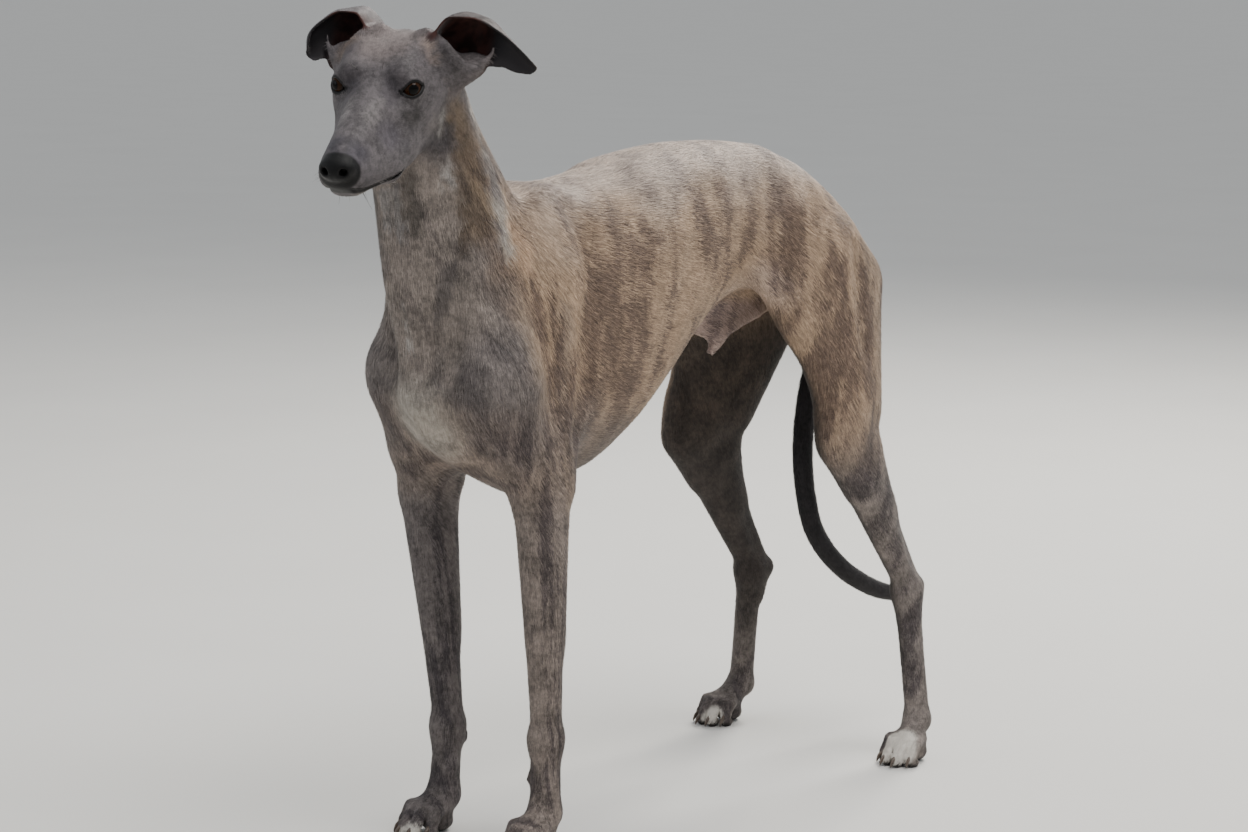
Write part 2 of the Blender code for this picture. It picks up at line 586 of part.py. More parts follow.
def add_skull(clay):
    def rod(a, b, ra, rb, blend=0.014, **more):
        clay.add(Rod(in_head(*a), in_head(*b), ra, rb, **more), blend)

    def ball(centre, radii, blend=0.014):
        clay.add(Ball(in_head(*centre), radii, HEAD_AXES), blend)

    across = tuple(HEAD_AXES[:, 0])
    ball((0, -0.066, -0.001), (0.0480, 0.0700, 0.0375))                              # skull
    rod((0, -0.070, 0.018), (0, -0.130, 0.009), 0.015, 0.014)                        # crest of the nape
    rod((0, -0.014, -0.012), (0, 0.110, -0.0450), 0.0285, 0.0192, 0.014, across=across, thin=(1.0, 1.02))
    rod((0, -0.030, -0.060), (0, 0.094, -0.0725), 0.0250, 0.0092, 0.010)             # floor of the jaw
    for side in (LEFT, RIGHT):
        ball((side * 0.026, -0.060, 0.013), (0.0240, 0.0460, 0.0240))                # dome beside the furrow
        ball((side * 0.0265, -0.012, 0.0130), (0.0135, 0.0180, 0.0105), 0.014)       # brow
        ball((side * 0.0350, -0.046, -0.0310), (0.0185, 0.0440, 0.0330), 0.024)      # cheek
        rod((side * 0.0240, 0.012, -0.0260), (side * 0.0440, -0.048, -0.0130), 0.0085, 0.0115, 0.022)
        rod((side * 0.0290, -0.056, -0.0620), (side * 0.0225, 0.040, -0.0725), 0.0160, 0.0125, 0.012)
        rod((side * 0.0225, 0.040, -0.0725), (side * 0.0075, 0.098, -0.0728), 0.0125, 0.0074, 0.012)
        rod((side * 0.0235, 0.006, -0.0510), (side * 0.0108, 0.107, -0.0590), 0.0185, 0.0125, 0.020)
    add_nose(clay, ball)
    for side in (LEFT, RIGHT):
        clay.add(Ball(eye_centre(side), (EYE_RADIUS + 0.0020,) * 3), 0.010)
        clay.carve(Opening(side, *EYE_OPENING), 0.0012)
    clay.carve(LipLine(0.0010, 0.0045), 0.0015)
    for side in (LEFT, RIGHT):
        add_ear_root(clay, side)


def add_nose(clay, ball):
    """The nose leather with its comma nostrils and the groove between them."""
    ball((0, 0.1230, -0.0460), (0.0195, 0.0150, 0.0140), 0.004)
    ball((0, 0.1100, -0.0605), (0.0148, 0.0135, 0.0085), 0.006)
    for side in (LEFT, RIGHT):
        clay.carve(Rod(in_head(side * 0.0105, 0.1400, -0.0480), in_head(side * 0.0090, 0.1290, -0.0455), 0.0044, 0.0030), 0.002)
        clay.carve(Rod(in_head(side * 0.0120, 0.1385, -0.0495), in_head(side * 0.0185, 0.1310, -0.0520), 0.0024, 0.0014), 0.0015)
    clay.carve(Rod(in_head(0, 0.1400, -0.0500), in_head(0, 0.1300, -0.0620), 0.0010, 0.0010), 0.002)


def add_ear_root(clay, side):
    """The root of an ear: the front and lower walls of its cup, which the ear itself closes behind."""
    for start, end, ra, rb in EAR_ROOT[side]:
        clay.add(Rod(in_head(*start), in_head(*end), ra, rb), 0.014)
    rim = [(in_head(*place), radius) for place, radius in EAR_RIM[side]]
    wall = [(in_head(*moved(place, -side * 0.012, -0.008, -0.006)), 0.0110) for place, _ in EAR_RIM[side][:5]]
    clay.add(Chain(wall, 10), 0.014)
    clay.add(Chain(rim, 18), 0.010)


def whole_dog():
    """The dog without its ears, eyes and tail, but with the tail's short root."""
    clay = Clay()
    add_trunk(clay)
    add_neck(clay)
    for side in (LEFT, RIGHT):
        add_foreleg(clay, side)
        add_hindleg(clay, side)
    add_sheath(clay)
    clay.carve(Below(tail_form(TAIL_ROOM), TAIL_CUT[0], TAIL_CUT[1]), 0.006)
    clay.add(Below(tail_form(), TAIL_CUT[0], -vec(*TAIL_CUT[1])), 0.010)
    clay.carve(Below(tail_form(TAIL_ROOM), TAIL_CUT[0], TAIL_CUT[1]), 0.001)
    add_skull(clay)
    return clay


# From the field to meshes

CUBE = np.array([(i & 1, i >> 1 & 1, i >> 2 & 1) for i in range(8)])
CUBE_EDGES = [(a, b) for a in range(8) for b in range(a + 1, 8) if bin(a ^ b).count("1") == 1]
CUBE_FACES = [[i for i in range(8) if (i >> axis & 1) == end] for axis in range(3) for end in (0, 1)]


def patches_of(case):
    """Which sheet of the surface crosses each edge of a cube, for one pattern of corners inside."""
    sheet = list(range(12))
    for face in CUBE_FACES:
        crossed = [e for e, (a, b) in enumerate(CUBE_EDGES) if a in face and b in face and (case >> a ^ case >> b) & 1]
        if len(crossed) == 2:
            pairs = [crossed]
        else:
            pairs = [[e for e in crossed if corner in CUBE_EDGES[e]] for corner in face if case >> corner & 1]
        for pair in pairs:
            if len(pair) == 2:
                old, new = sheet[pair[1]], sheet[pair[0]]
                sheet = [new if s == old else s for s in sheet]
    kinds = sorted({sheet[e] for e, (a, b) in enumerate(CUBE_EDGES) if (case >> a ^ case >> b) & 1})
    return [kinds.index(s) if s in kinds else 0 for s in sheet], len(kinds)


PATCHES = [patches_of(case) for case in range(256)]
PATCH_OF_EDGE = np.array([patch for patch, _ in PATCHES])
PATCH_COUNT = np.array([count for _, count in PATCHES])


def lattice(count):
    """Every whole-number place in a box of that many along each side."""
    return np.stack(np.meshgrid(*(np.arange(n) for n in count), indexing="ij"), -1).reshape(-1, 3)


def field_values(field, low, high, step):
    """The field on a grid, worked out in full only in blocks near the surface; the grid's border is outside."""
    blocks = np.ceil((np.array(high, float) - low) / (step * BLOCK)).astype(int)
    coarse = field(low + (lattice(blocks) + 0.5) * step * BLOCK).reshape(blocks)
    value, near = coarse, np.abs(coarse) < 1.3 * step * BLOCK
    for axis in range(3):
        value = np.repeat(value, BLOCK, axis)
        value = np.concatenate([value, value.take([-1], axis)], axis)
        near = np.repeat(near, BLOCK, axis)
        after, before = [(0, 0)] * 3, [(0, 0)] * 3
        after[axis], before[axis] = (0, 1), (1, 0)
        near = np.pad(near, after) | np.pad(near, before)
    value[near] = field(low + np.argwhere(near) * step)
    core = tuple(slice(1, -1) for _ in range(3))
    border = np.ones(value.shape, bool)
    border[core] = False
    value[border] = np.maximum(value[border], step)
    return value


def surface(field, low, high, step):
    """Vertices and quads of the field's zero level, with one vertex for each sheet in a cell it crosses."""
    low = np.array(low, float)
    value = field_values(field, low, high, step)
    count = np.array(value.shape)
    inside = value < 0
    case = np.zeros(count - 1, int)
    for i, (x, y, z) in enumerate(CUBE):
        case |= inside[x:count[0] - 1 + x, y:count[1] - 1 + y, z:count[2] - 1 + z].astype(int) << i
    cells = np.argwhere((case > 0) & (case < 255))
    case = case[tuple(cells.T)]
    start = np.concatenate([[0], np.cumsum(PATCH_COUNT[case])])
    at = np.stack([value[tuple((cells + corner).T)] for corner in CUBE], 1)
    total, hits = np.zeros((start[-1], 3)), np.zeros(start[-1])
    for e, (a, b) in enumerate(CUBE_EDGES):
        cross = np.flatnonzero((at[:, a] < 0) != (at[:, b] < 0))
        share = (at[cross, a] / (at[cross, a] - at[cross, b]))[:, None]
        vertex = start[cross] + PATCH_OF_EDGE[case[cross], e]
        np.add.at(total, vertex, cells[cross] + CUBE[a] + share * (CUBE[b] - CUBE[a]))
        np.add.at(hits, vertex, 1)
    verts = low + total / hits[:, None] * step
    number = np.full(count, -1)
    number[tuple(cells.T)] = np.arange(len(cells))
    quads = []
    for axis in range(3):
        u, v = (axis + 1) % 3, (axis + 2) % 3
        along, du, dv = np.eye(3, dtype=int)[[axis, u, v]]
        here = inside[tuple(slice(0, -1) if k == axis else slice(None) for k in range(3))]
        there = inside[tuple(slice(1, None) if k == axis else slice(None) for k in range(3))]
        edges = np.argwhere(here != there)
        ring = []
        for offset in (0 * du, du, du + dv, dv):
            near, far = offset @ (1, 2, 4), (offset + along) @ (1, 2, 4)
            cell = number[tuple((edges - offset).T)]
            ring.append(start[cell] + PATCH_OF_EDGE[case[cell], CUBE_EDGES.index((near, far))])
        ring = np.stack(ring, 1)
        quads.append(np.where(here[tuple(edges.T)][:, None], ring, ring[:, ::-1]))
    return verts, np.concatenate(quads)


def mesh_object(name, verts, faces):
    mesh = bpy.data.meshes.new(name)
    mesh.from_pydata([tuple(v) for v in verts], [], [tuple(f) for f in faces])
    mesh.validate()
    obj = bpy.data.objects.new(name, mesh)
    bpy.context.scene.collection.objects.link(obj)
    return obj


def apply_modifiers(obj):
    """Replaces the object's mesh with its mesh as modified."""
    graph = bpy.context.evaluated_depsgraph_get()
    mesh = bpy.data.meshes.new_from_object(obj.evaluated_get(graph))
    obj.modifiers.clear()
    obj.data = mesh
    return obj


def thinned(obj, triangles, fine=None):
    """Fewer triangles, with more of them left where the group called fine is strong."""
    thin = obj.modifiers.new("thin", "DECIMATE")
    thin.ratio = min(1.0, triangles / (2 * len(obj.data.polygons)))
    if fine:
        thin.vertex_group = fine.name
        thin.invert_vertex_group = True
        thin.vertex_group_factor = 3.0
    thin.use_collapse_triangulate = True
    return apply_modifiers(obj)


def half_space(point, normal):
    """Distances from a plane, above 0 on the side that its normal points to."""
    point, normal = vec(*point), vec(*normal) / np.linalg.norm(normal)
    return lambda p: (p - point) @ normal


# The cuts. Each plane's normal points out of the part that is named.
NECK_TOP = (in_head(0, -0.100, -0.034), tuple(HEAD_AXES @ vec(0, 0.82, 0.57)))
NECK_ROOT = ((0, -0.330, 0.650), (0, 0.747, -0.664))


def leg_planes(side, fore):
    """The planes that bound a leg's wedge: the slanting one towards the trunk, then front, back and middle."""
    if fore:
        return (
            ((side * 0.040, 0, 0.425), (-side * 0.785, 0, 0.62)),
            ((0, -0.460, 0), (0, -1, 0)),
            ((0, -0.206, 0.40), (0, 0.97, 0.24)),
            ((side * 0.030, 0, 0), (-side, 0, 0)),
        )
    return (
        ((side * 0.020, 0, 0.545), (-side * 0.62, 0, 0.785)),
        ((0, 0.082, 0.56), (0, -0.93, -0.36)),
        ((0, 0.420, 0), (0, 1, 0)),
        ((side * 0.020, 0, 0), (-side, 0, 0)),
    )


def cut_flat(obj, point, normal):
    """Takes away what lies past the plane and closes the cut."""
    bm = bmesh.new()
    bm.from_mesh(obj.data)
    faces = bm.verts[:] + bm.edges[:] + bm.faces[:]
    cut = bmesh.ops.bisect_plane(bm, geom=faces, plane_co=point, plane_no=normal, clear_outer=True, dist=1e-7)
    rim = [e for e in cut["geom_cut"] if isinstance(e, bmesh.types.BMEdge)]
    bmesh.ops.holes_fill(bm, edges=rim, sides=0)
    bmesh.ops.triangulate(bm, faces=[f for f in bm.faces if len(f.verts) > 3])
    bm.to_mesh(obj.data)
    bm.free()


def keep_largest(obj):
    """Drops every closed surface of the mesh but the one with the most faces."""
    bm = bmesh.new()
    bm.from_mesh(obj.data)
    left, shells = set(bm.faces), []
    while left:
        shell, edge = set(), [left.pop()]
        while edge:
            face = edge.pop()
            shell.add(face)
            for e in face.edges:
                for other in e.link_faces:
                    if other in left:
                        left.remove(other)
                        edge.append(other)
        shells.append(shell)
    shells.sort(key=len)
    bmesh.ops.delete(bm, geom=[f for s in shells[:-1] for f in s], context="FACES")
    bm.to_mesh(obj.data)
    bm.free()


def wedge_cutter(side, fore, grow):
    """The leg's wedge as a closed mesh, each plane moved outwards by grow."""
    bm = bmesh.new()
    bmesh.ops.create_cube(bm, size=2.0)
    mesh = bpy.data.meshes.new("leg_cutter")
    bm.to_mesh(mesh)
    bm.free()
    obj = bpy.data.objects.new("leg_cutter", mesh)
    bpy.context.scene.collection.objects.link(obj)
    obj.hide_render = True
    obj.display_type = "WIRE"
    for point, normal in leg_planes(side, fore):
        out = Vector(normal).normalized()
        cut_flat(obj, Vector(point) + out * grow, out)
    return obj


def boolean(obj, cutter, operation):
    cut = obj.modifiers.new("cut", "BOOLEAN")
    cut.operation = operation
    cut.object = cutter
    cut.solver = "EXACT"
    apply_modifiers(obj)
    mesh = cutter.data
    bpy.data.objects.remove(cutter)
    bpy.data.meshes.remove(mesh)


def leg(dog, name, side, fore):
    bounds = [half_space(*plane) for plane in leg_planes(side, fore)]

    def field(p):
        edge = np.max([b(p) for b in bounds], axis=0) - CUT_MARGIN
        return np.maximum(dog.distance(p), edge)

    y = (-0.40, -0.18) if fore else (0.06, 0.39)
    x = sorted((side * 0.005, side * 0.20))
    low, high = (x[0], y[0], -0.006), (x[1], y[1], 0.56 if fore else 0.68)
    obj = mesh_object(name, *surface(field, low, high, 0.0022))
    keep_largest(thinned(obj, TRIANGLES[name]))
    boolean(obj, wedge_cutter(side, fore, -GAP / 2), "INTERSECT")
    cut_flat(obj, (0, 0, 0), (0, 0, -1))
    keep_largest(obj)
    return obj


def torso(dog):
    legs = [[half_space(*plane) for plane in leg_planes(s, f)] for s in (LEFT, RIGHT) for f in (True, False)]
    front = half_space(NECK_ROOT[0], [-c for c in NECK_ROOT[1]])

    def field(p):
        f = dog.distance(p)
        for planes in legs:
            f = np.maximum(f, -np.max([b(p) for b in planes], axis=0) - CUT_MARGIN)
        return np.maximum(f, front(p) - CUT_MARGIN)

    obj = mesh_object("torso", *surface(field, (-0.14, -0.42, 0.37), (0.14, 0.37, 0.78), 0.004))
    keep_largest(thinned(obj, TRIANGLES["torso"]))
    for side in (LEFT, RIGHT):
        for fore in (True, False):
            boolean(obj, wedge_cutter(side, fore, GAP / 2), "DIFFERENCE")
    cut_flat(obj, Vector(NECK_ROOT[0]) + Vector(NECK_ROOT[1]).normalized() * GAP, [-c for c in NECK_ROOT[1]])
    keep_largest(obj)
    return obj


def neck(dog):
    top, root = half_space(*NECK_TOP), half_space(*NECK_ROOT)

    def field(p):
        return np.maximum(dog.distance(p), np.maximum(top(p), root(p)) - CUT_MARGIN)

    obj = mesh_object("neck", *surface(field, (-0.13, -0.46, 0.50), (0.13, -0.20, 0.92), 0.003))
    keep_largest(thinned(obj, TRIANGLES["neck"]))
    for point, normal in (NECK_TOP, NECK_ROOT):
        cut_flat(obj, point, normal)
    keep_largest(obj)
    return obj


def head(dog):
    back = half_space(NECK_TOP[0], [-c for c in NECK_TOP[1]])

    def field(p):
        return np.maximum(dog.distance(p), back(p) - CUT_MARGIN)

    reach = [vec(*in_head(x, y, z)) for x in (-0.06, 0.06) for y in (-0.16, 0.15) for z in (-0.10, 0.06)]
    obj = mesh_object("head", *surface(field, np.min(reach, axis=0), np.max(reach, axis=0), 0.0015))
    fine = obj.vertex_groups.new(name="fine")
    spots = np.array([v.co for v in obj.data.vertices])
    face = [eye_centre(LEFT), eye_centre(RIGHT), in_head(0, 0.125, -0.045)]
    near = np.min([np.linalg.norm(spots - vec(*spot), axis=1) for spot in face], axis=0)
    for index in np.flatnonzero(near < FACE_REACH):
        fine.add([int(index)], 1 - near[index] / FACE_REACH, "REPLACE")
    keep_largest(thinned(obj, TRIANGLES["head"], fine))
    cut_flat(obj, Vector(NECK_TOP[0]) + Vector(NECK_TOP[1]).normalized() * GAP, [-c for c in NECK_TOP[1]])
    for side in (LEFT, RIGHT):
        boolean(obj, eye(side, "eye_cutter", EYE_RADIUS + GAP), "DIFFERENCE")
    keep_largest(obj)
    return obj


def tail():
    form = Below(tail_form(), moved(TAIL_CUT[0], *(-GAP * vec(*TAIL_CUT[1]))), TAIL_CUT[1])
    low, high = form.box()
    obj = mesh_object("tail", *surface(form.distance, low - 0.004, high + 0.004, 0.002))
    keep_largest(thinned(obj, TRIANGLES["tail"]))
    return obj


def eye(side, name, radius):
    """An eyeball that looks along the eye's axis."""
    bm = bmesh.new()
    bmesh.ops.create_uvsphere(bm, u_segments=20, v_segments=12, radius=radius)
    axes = eye_axes(side)
    turn = Matrix(np.stack([axes[:, 2], axes[:, 0], axes[:, 1]], axis=1).tolist())
    bmesh.ops.transform(bm, matrix=Matrix.Translation(eye_centre(side)) @ turn.to_4x4(), verts=bm.verts)
    bmesh.ops.recalc_face_normals(bm, faces=bm.faces[:])
    bmesh.ops.triangulate(bm, faces=bm.faces[:])
    mesh = bpy.data.meshes.new(name)
    bm.to_mesh(mesh)
    bm.free()
    obj = bpy.data.objects.new(name, mesh)
    bpy.context.scene.collection.objects.link(obj)
    obj.hide_render = "cutter" in name
    return obj


def ear_sheet(side, along, across):
    """The middle surface of an ear: a grid of points, root to tip and upper edge to lower edge."""
    rows = np.array(EAR[side], float)
    at = np.linspace(0, 1, len(rows))
    t = np.linspace(0, 1, along)
    rails = np.stack([
        np.stack([smooth_curve(at, rows[:, k, c])(t) for c in range(3)], -1) for k in range(3)
    ], 1)
    s = np.linspace(0, 1, across)[None, :, None]
    upper, back, lower = rails[:, None, 0], rails[:, None, 1], rails[:, None, 2]
    bow = 2 * back - (upper + lower) / 2
    local = upper * (1 - s) ** 2 + bow * 2 * s * (1 - s) + lower * s * s
    return vec(*HEAD_PLACE) + local @ HEAD_AXES.T


def grid_normals(grid):
    du, dv = np.gradient(grid, axis=0), np.gradient(grid, axis=1)
    normal = np.cross(du, dv)
    return normal / (np.linalg.norm(normal, axis=2, keepdims=True) + 1e-12)


def ear(side, along=15, across=9):
    """An ear as a closed sheet of even thickness, thinner at its rim, with both faces split alike."""
    grid = ear_sheet(side, along, across)
    normal = grid_normals(grid)
    u, v = np.meshgrid(np.linspace(0, 1, along), np.linspace(-1, 1, across), indexing="ij")
    half = EAR_LEATHER / 2 * (1 - 0.45 * np.maximum(v * v, u ** 4))
    verts = np.concatenate([
        (grid + normal * half[..., None]).reshape(-1, 3), (grid - normal * half[..., None]).reshape(-1, 3),
    ])
    faces, count = [], along * across
    for i in range(along - 1):
        for j in range(across - 1):
            a, b = i * across + j, i * across + j + 1
            c, d = a + across, b + across
            faces += [(a, b, d), (a, d, c), (count + a, count + d, count + b), (count + a, count + c, count + d)]
    ring = [j for j in range(across)] + [i * across + across - 1 for i in range(1, along)]
    ring += [(along - 1) * across + j for j in range(across - 2, -1, -1)]
    ring += [i * across for i in range(along - 2, 0, -1)]
    for a, b in zip(ring, ring[1:] + ring[:1]):
        faces += [(b, a, count + a), (b, count + a, count + b)]
    obj = mesh_object("ear_left" if side == LEFT else "ear_right", verts, faces)
    bm = bmesh.new()
    bm.from_mesh(obj.data)
    bmesh.ops.recalc_face_normals(bm, faces=bm.faces[:])
    bm.to_mesh(obj.data)
    bm.free()
    return obj


def material(name, colour, roughness, metallic=0.0):
    made = bpy.data.materials.new(name)
    made.use_nodes = True
    shader = made.node_tree.nodes["Principled BSDF"]
    shader.inputs["Base Color"].default_value = (*colour, 1)
    shader.inputs["Roughness"].default_value = roughness
    shader.inputs["Metallic"].default_value = metallic
    return made


def inflated(obj, by):
    """A copy of the mesh pushed outwards, as a cutter."""
    copy = bpy.data.objects.new(f"{obj.name}_cutter", obj.data.copy())
    bpy.context.scene.collection.objects.link(copy)
    copy.hide_render = True
    copy.display_type = "WIRE"
    push = copy.modifiers.new("push", "DISPLACE")
    push.strength = by
    push.mid_level = 0
    return apply_modifiers(copy)


def fit_around(obj, other):
    """Cuts the object back to leave the gap around another."""
    boolean(obj, inflated(other, GAP), "DIFFERENCE")
    keep_largest(obj)


def main():
    for obj in list(bpy.data.objects):
        bpy.data.objects.remove(obj)
    dog = whole_dog()
    skull, trunk, hanging = head(dog), torso(dog), tail()
    fit_around(trunk, hanging)
    parts = [trunk, neck(dog), skull, hanging]
    for side, word in ((LEFT, "left"), (RIGHT, "right")):
        parts.append(leg(dog, f"foreleg_{word}", side, True))
        parts.append(leg(dog, f"hindleg_{word}", side, False))
        parts.append(eye(side, f"eye_{word}", EYE_RADIUS))
        leaf = ear(side)
        fit_around(leaf, skull)
        parts.append(leaf)
    for obj in parts:
        colour, roughness = ((0.03, 0.015, 0.008), 0.1) if obj.name.startswith("eye") else ((0.36, 0.27, 0.20), 0.6)
        obj.data.materials.clear()
        obj.data.materials.append(material(obj.name, colour, roughness))
        obj.data.shade_smooth()
        obj.data.set_sharp_from_angle(angle=SHARP)
        obj.data.transform(Matrix.Translation((-CENTRE[0], -CENTRE[1], 0)))


main()
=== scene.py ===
"""The looks of a life-size standing greyhound: its skin, coat, eyes, nose and claws.

The dog faces -Y, its left side is +X and the floor is at z = 0. The skin is the zero level of the same
smooth field of bones and muscles as the solids, a coat's depth further in, with the folds that only show
close up. The coat is short hair in thin flat tufts that lie along the body. The skin and the tufts take
their brindle from the same places and the same pattern.
"""

import itertools
import math

import bmesh
import bpy
import numpy as np
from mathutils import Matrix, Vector
from mathutils.bvhtree import BVHTree


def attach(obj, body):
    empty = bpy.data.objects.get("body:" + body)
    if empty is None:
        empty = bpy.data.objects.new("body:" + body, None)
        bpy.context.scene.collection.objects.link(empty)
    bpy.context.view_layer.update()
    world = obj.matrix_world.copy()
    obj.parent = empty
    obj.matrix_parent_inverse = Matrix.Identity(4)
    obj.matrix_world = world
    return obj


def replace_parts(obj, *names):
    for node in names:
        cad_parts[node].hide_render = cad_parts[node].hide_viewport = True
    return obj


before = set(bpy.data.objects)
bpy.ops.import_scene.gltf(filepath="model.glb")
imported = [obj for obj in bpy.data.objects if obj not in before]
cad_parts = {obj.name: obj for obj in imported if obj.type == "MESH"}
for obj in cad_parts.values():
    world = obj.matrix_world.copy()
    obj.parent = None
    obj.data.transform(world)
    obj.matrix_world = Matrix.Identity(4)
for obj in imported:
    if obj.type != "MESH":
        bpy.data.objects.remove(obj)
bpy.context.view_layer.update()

FLESH = (
    "head", "ear_left", "ear_right", "neck", "torso", "tail",
    "foreleg_left", "foreleg_right", "hindleg_left", "hindleg_right",
)

# Driving sizes, in metres
EYE_RADIUS, CORNEA_BULGE = 0.0122, 0.0007
EAR_THICKNESS = 0.0018
COAT_DEPTH, FACE_COAT_DEPTH = 0.0016, 0.0005
EAR_SPARE = 0.0006               # how much thicker the ears are while their surface is looked for
BODY_STEP, HEAD_STEP, TAIL_STEP = ((0.0058, 0.00176, 0.0038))
BLOCK = 4                        # the field is worked out in full only in blocks of this many steps
REACH = 0.016                    # a form is left out farther than this from its box, beyond its blend
SLOPE_REACH, PROBE = 0.0005, 0.0004      # how far apart the field is read for its slope

# Tufts of the coat, on the body and then on face and feet
TUFT_APART, TUFT_LENGTH, TUFT_WIDTH = (0.0020, 0.0011), (0.0115, 0.0042), (0.0009, 0.0006)
TAIL_TUFT_SPARE = 0.003          # how much longer the tail's tufts are
TUFT_LEAN, TUFT_SWAY = 0.45, 0.16
TUFT_PATCH = 0.003               # a tuft's side on the map that is baked
PIECE_TRIANGLES = 190000         # the most in one piece of the coat
UNWRAP_TRIANGLES = 14000         # in the light copy of the skin that carries the map

# The middle of the model's box, seen from above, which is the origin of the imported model
CENTRE = (0.0015, -0.0645)

# Joints of the left legs and the right legs, which stand a little differently
LEFT, RIGHT = 1, -1
SHOULDER = {LEFT: (0.080, -0.338, 0.528), RIGHT: (-0.080, -0.338, 0.526)}
ELBOW = {LEFT: (0.066, -0.259, 0.376), RIGHT: (-0.096, -0.268, 0.367)}
CARPUS = {LEFT: (0.071, -0.264, 0.118), RIGHT: (-0.066, -0.279, 0.113)}
FORE_PAW = {LEFT: (0.077, -0.283, 0.0), RIGHT: (-0.064, -0.303, 0.0)}
HIP = {LEFT: (0.064, 0.262, 0.607), RIGHT: (-0.064, 0.262, 0.607)}
STIFLE = {LEFT: (0.107, 0.200, 0.410), RIGHT: (-0.106, 0.167, 0.398)}
FORE_TURN, HIND_TURN = math.radians(8), math.radians(13)     # the legs turn outwards
FORE_PAW_SCALE, HIND_PAW_SCALE = 1.0, 0.95
HOCK = {LEFT: (0.121, 0.320, 0.200), RIGHT: (-0.107, 0.296, 0.198)}
TOE_JOINT = {LEFT: (0.142, 0.317, 0.048), RIGHT: (-0.139, 0.319, 0.048)}
HIND_PAW = {LEFT: (0.149, 0.296, 0.0), RIGHT: (-0.145, 0.298, 0.0)}

# The head's frame: x to its left, y along the face, z up, from the point between the eyes
HEAD_PLACE = (0.030, -0.472, 0.838)
HEAD_TURN, HEAD_DROP, HEAD_TILT = (math.radians(a) for a in (27.0, 14.0, -2.5))
EYE_PLACE = (0.0354, -0.007, 0.0)
EYE_TURN = math.radians(38)      # each eye looks this far outwards
EYE_LIFT = math.radians(4)
EYE_OPENING = (math.radians(57), math.radians(33), math.radians(6), EYE_RADIUS - 0.001)    # between the lids

# The trunk, front to back: y, height of the back, of the widest place and of the belly, half width
TRUNK = (
    (-0.386, 0.530, 0.508, 0.486, 0.006),
    (-0.374, 0.566, 0.510, 0.462, 0.030),
    (-0.348, 0.610, 0.515, 0.438, 0.050),
    (-0.315, 0.655, 0.530, 0.416, 0.067),
    (-0.270, 0.698, 0.545, 0.398, 0.083),
    (-0.220, 0.717, 0.555, 0.389, 0.095),
    (-0.160, 0.726, 0.565, 0.396, 0.102),
    (-0.100, 0.738, 0.588, 0.425, 0.102),
    (-0.040, 0.750, 0.615, 0.472, 0.094),
    (0.020, 0.756, 0.645, 0.524, 0.082),
    (0.080, 0.755, 0.662, 0.562, 0.072),
    (0.140, 0.748, 0.660, 0.574, 0.068),
    (0.200, 0.732, 0.648, 0.570, 0.070),
    (0.250, 0.704, 0.635, 0.562, 0.067),
    (0.290, 0.674, 0.618, 0.556, 0.056),
    (0.318, 0.648, 0.606, 0.562, 0.040),
    (0.332, 0.618, 0.600, 0.582, 0.008),
)
BACK_ROUNDNESS, KEEL_ROUNDNESS = 2.25, 1.85    # exponents of the section above and below

# The neck's middle line from the chest to the skull: place, half depth, half width
NECK = (
    ((0.0, -0.236, 0.520), 0.070, 0.052),
    ((0.0, -0.272, 0.590), 0.106, 0.070),
    ((0.0, -0.326, 0.668), 0.086, 0.065),
    ((-0.003, -0.348, 0.735), 0.068, 0.057),
    ((-0.007, -0.365, 0.795), 0.053, 0.049),
    ((-0.010, -0.380, 0.850), 0.041, 0.042),
)

TAIL_CUT = ((0, 0.329, 0.598), (0, -0.25, 0.97))     # where the tail meets its root
TAIL_ROOM = 0.002                                      # between the tail and the thighs

# Rows of an ear in the head's frame, root to tip: upper edge, middle of its back, lower edge
EAR = {
    LEFT: (
        ((0.036, -0.062, 0.022), (0.034, -0.100, 0.012), (0.040, -0.074, -0.018)),
        ((0.049, -0.058, 0.046), (0.058, -0.108, 0.032), (0.066, -0.078, -0.014)),
        ((0.064, -0.062, 0.060), (0.080, -0.108, 0.044), (0.084, -0.078, -0.004)),
        ((0.084, -0.070, 0.058), (0.101, -0.098, 0.042), (0.099, -0.076, 0.006)),
        ((0.108, -0.078, 0.044), (0.118, -0.090, 0.028), (0.112, -0.080, 0.005)),
        ((0.130, -0.084, 0.023), (0.131, -0.090, 0.011), (0.125, -0.084, -0.001)),
        ((0.146, -0.089, 0.003), (0.144, -0.091, -0.001), (0.139, -0.089, -0.004)),
    ),
    RIGHT: (
        ((-0.022, -0.066, 0.024), (-0.018, -0.102, 0.016), (-0.038, -0.064, -0.014)),
        ((-0.032, -0.068, 0.045), (-0.028, -0.110, 0.032), (-0.054, -0.064, -0.004)),
        ((-0.042, -0.070, 0.057), (-0.046, -0.110, 0.044), (-0.068, -0.060, 0.000)),
        ((-0.058, -0.068, 0.058), (-0.068, -0.092, 0.044), (-0.072, -0.058, 0.010)),
        ((-0.074, -0.062, 0.050), (-0.084, -0.074, 0.035), (-0.076, -0.054, 0.011)),
        ((-0.087, -0.057, 0.037), (-0.094, -0.064, 0.024), (-0.083, -0.052, 0.009)),
        ((-0.092, -0.054, 0.016), (-0.091, -0.056, 0.012), (-0.086, -0.053, 0.010)),
    ),
}

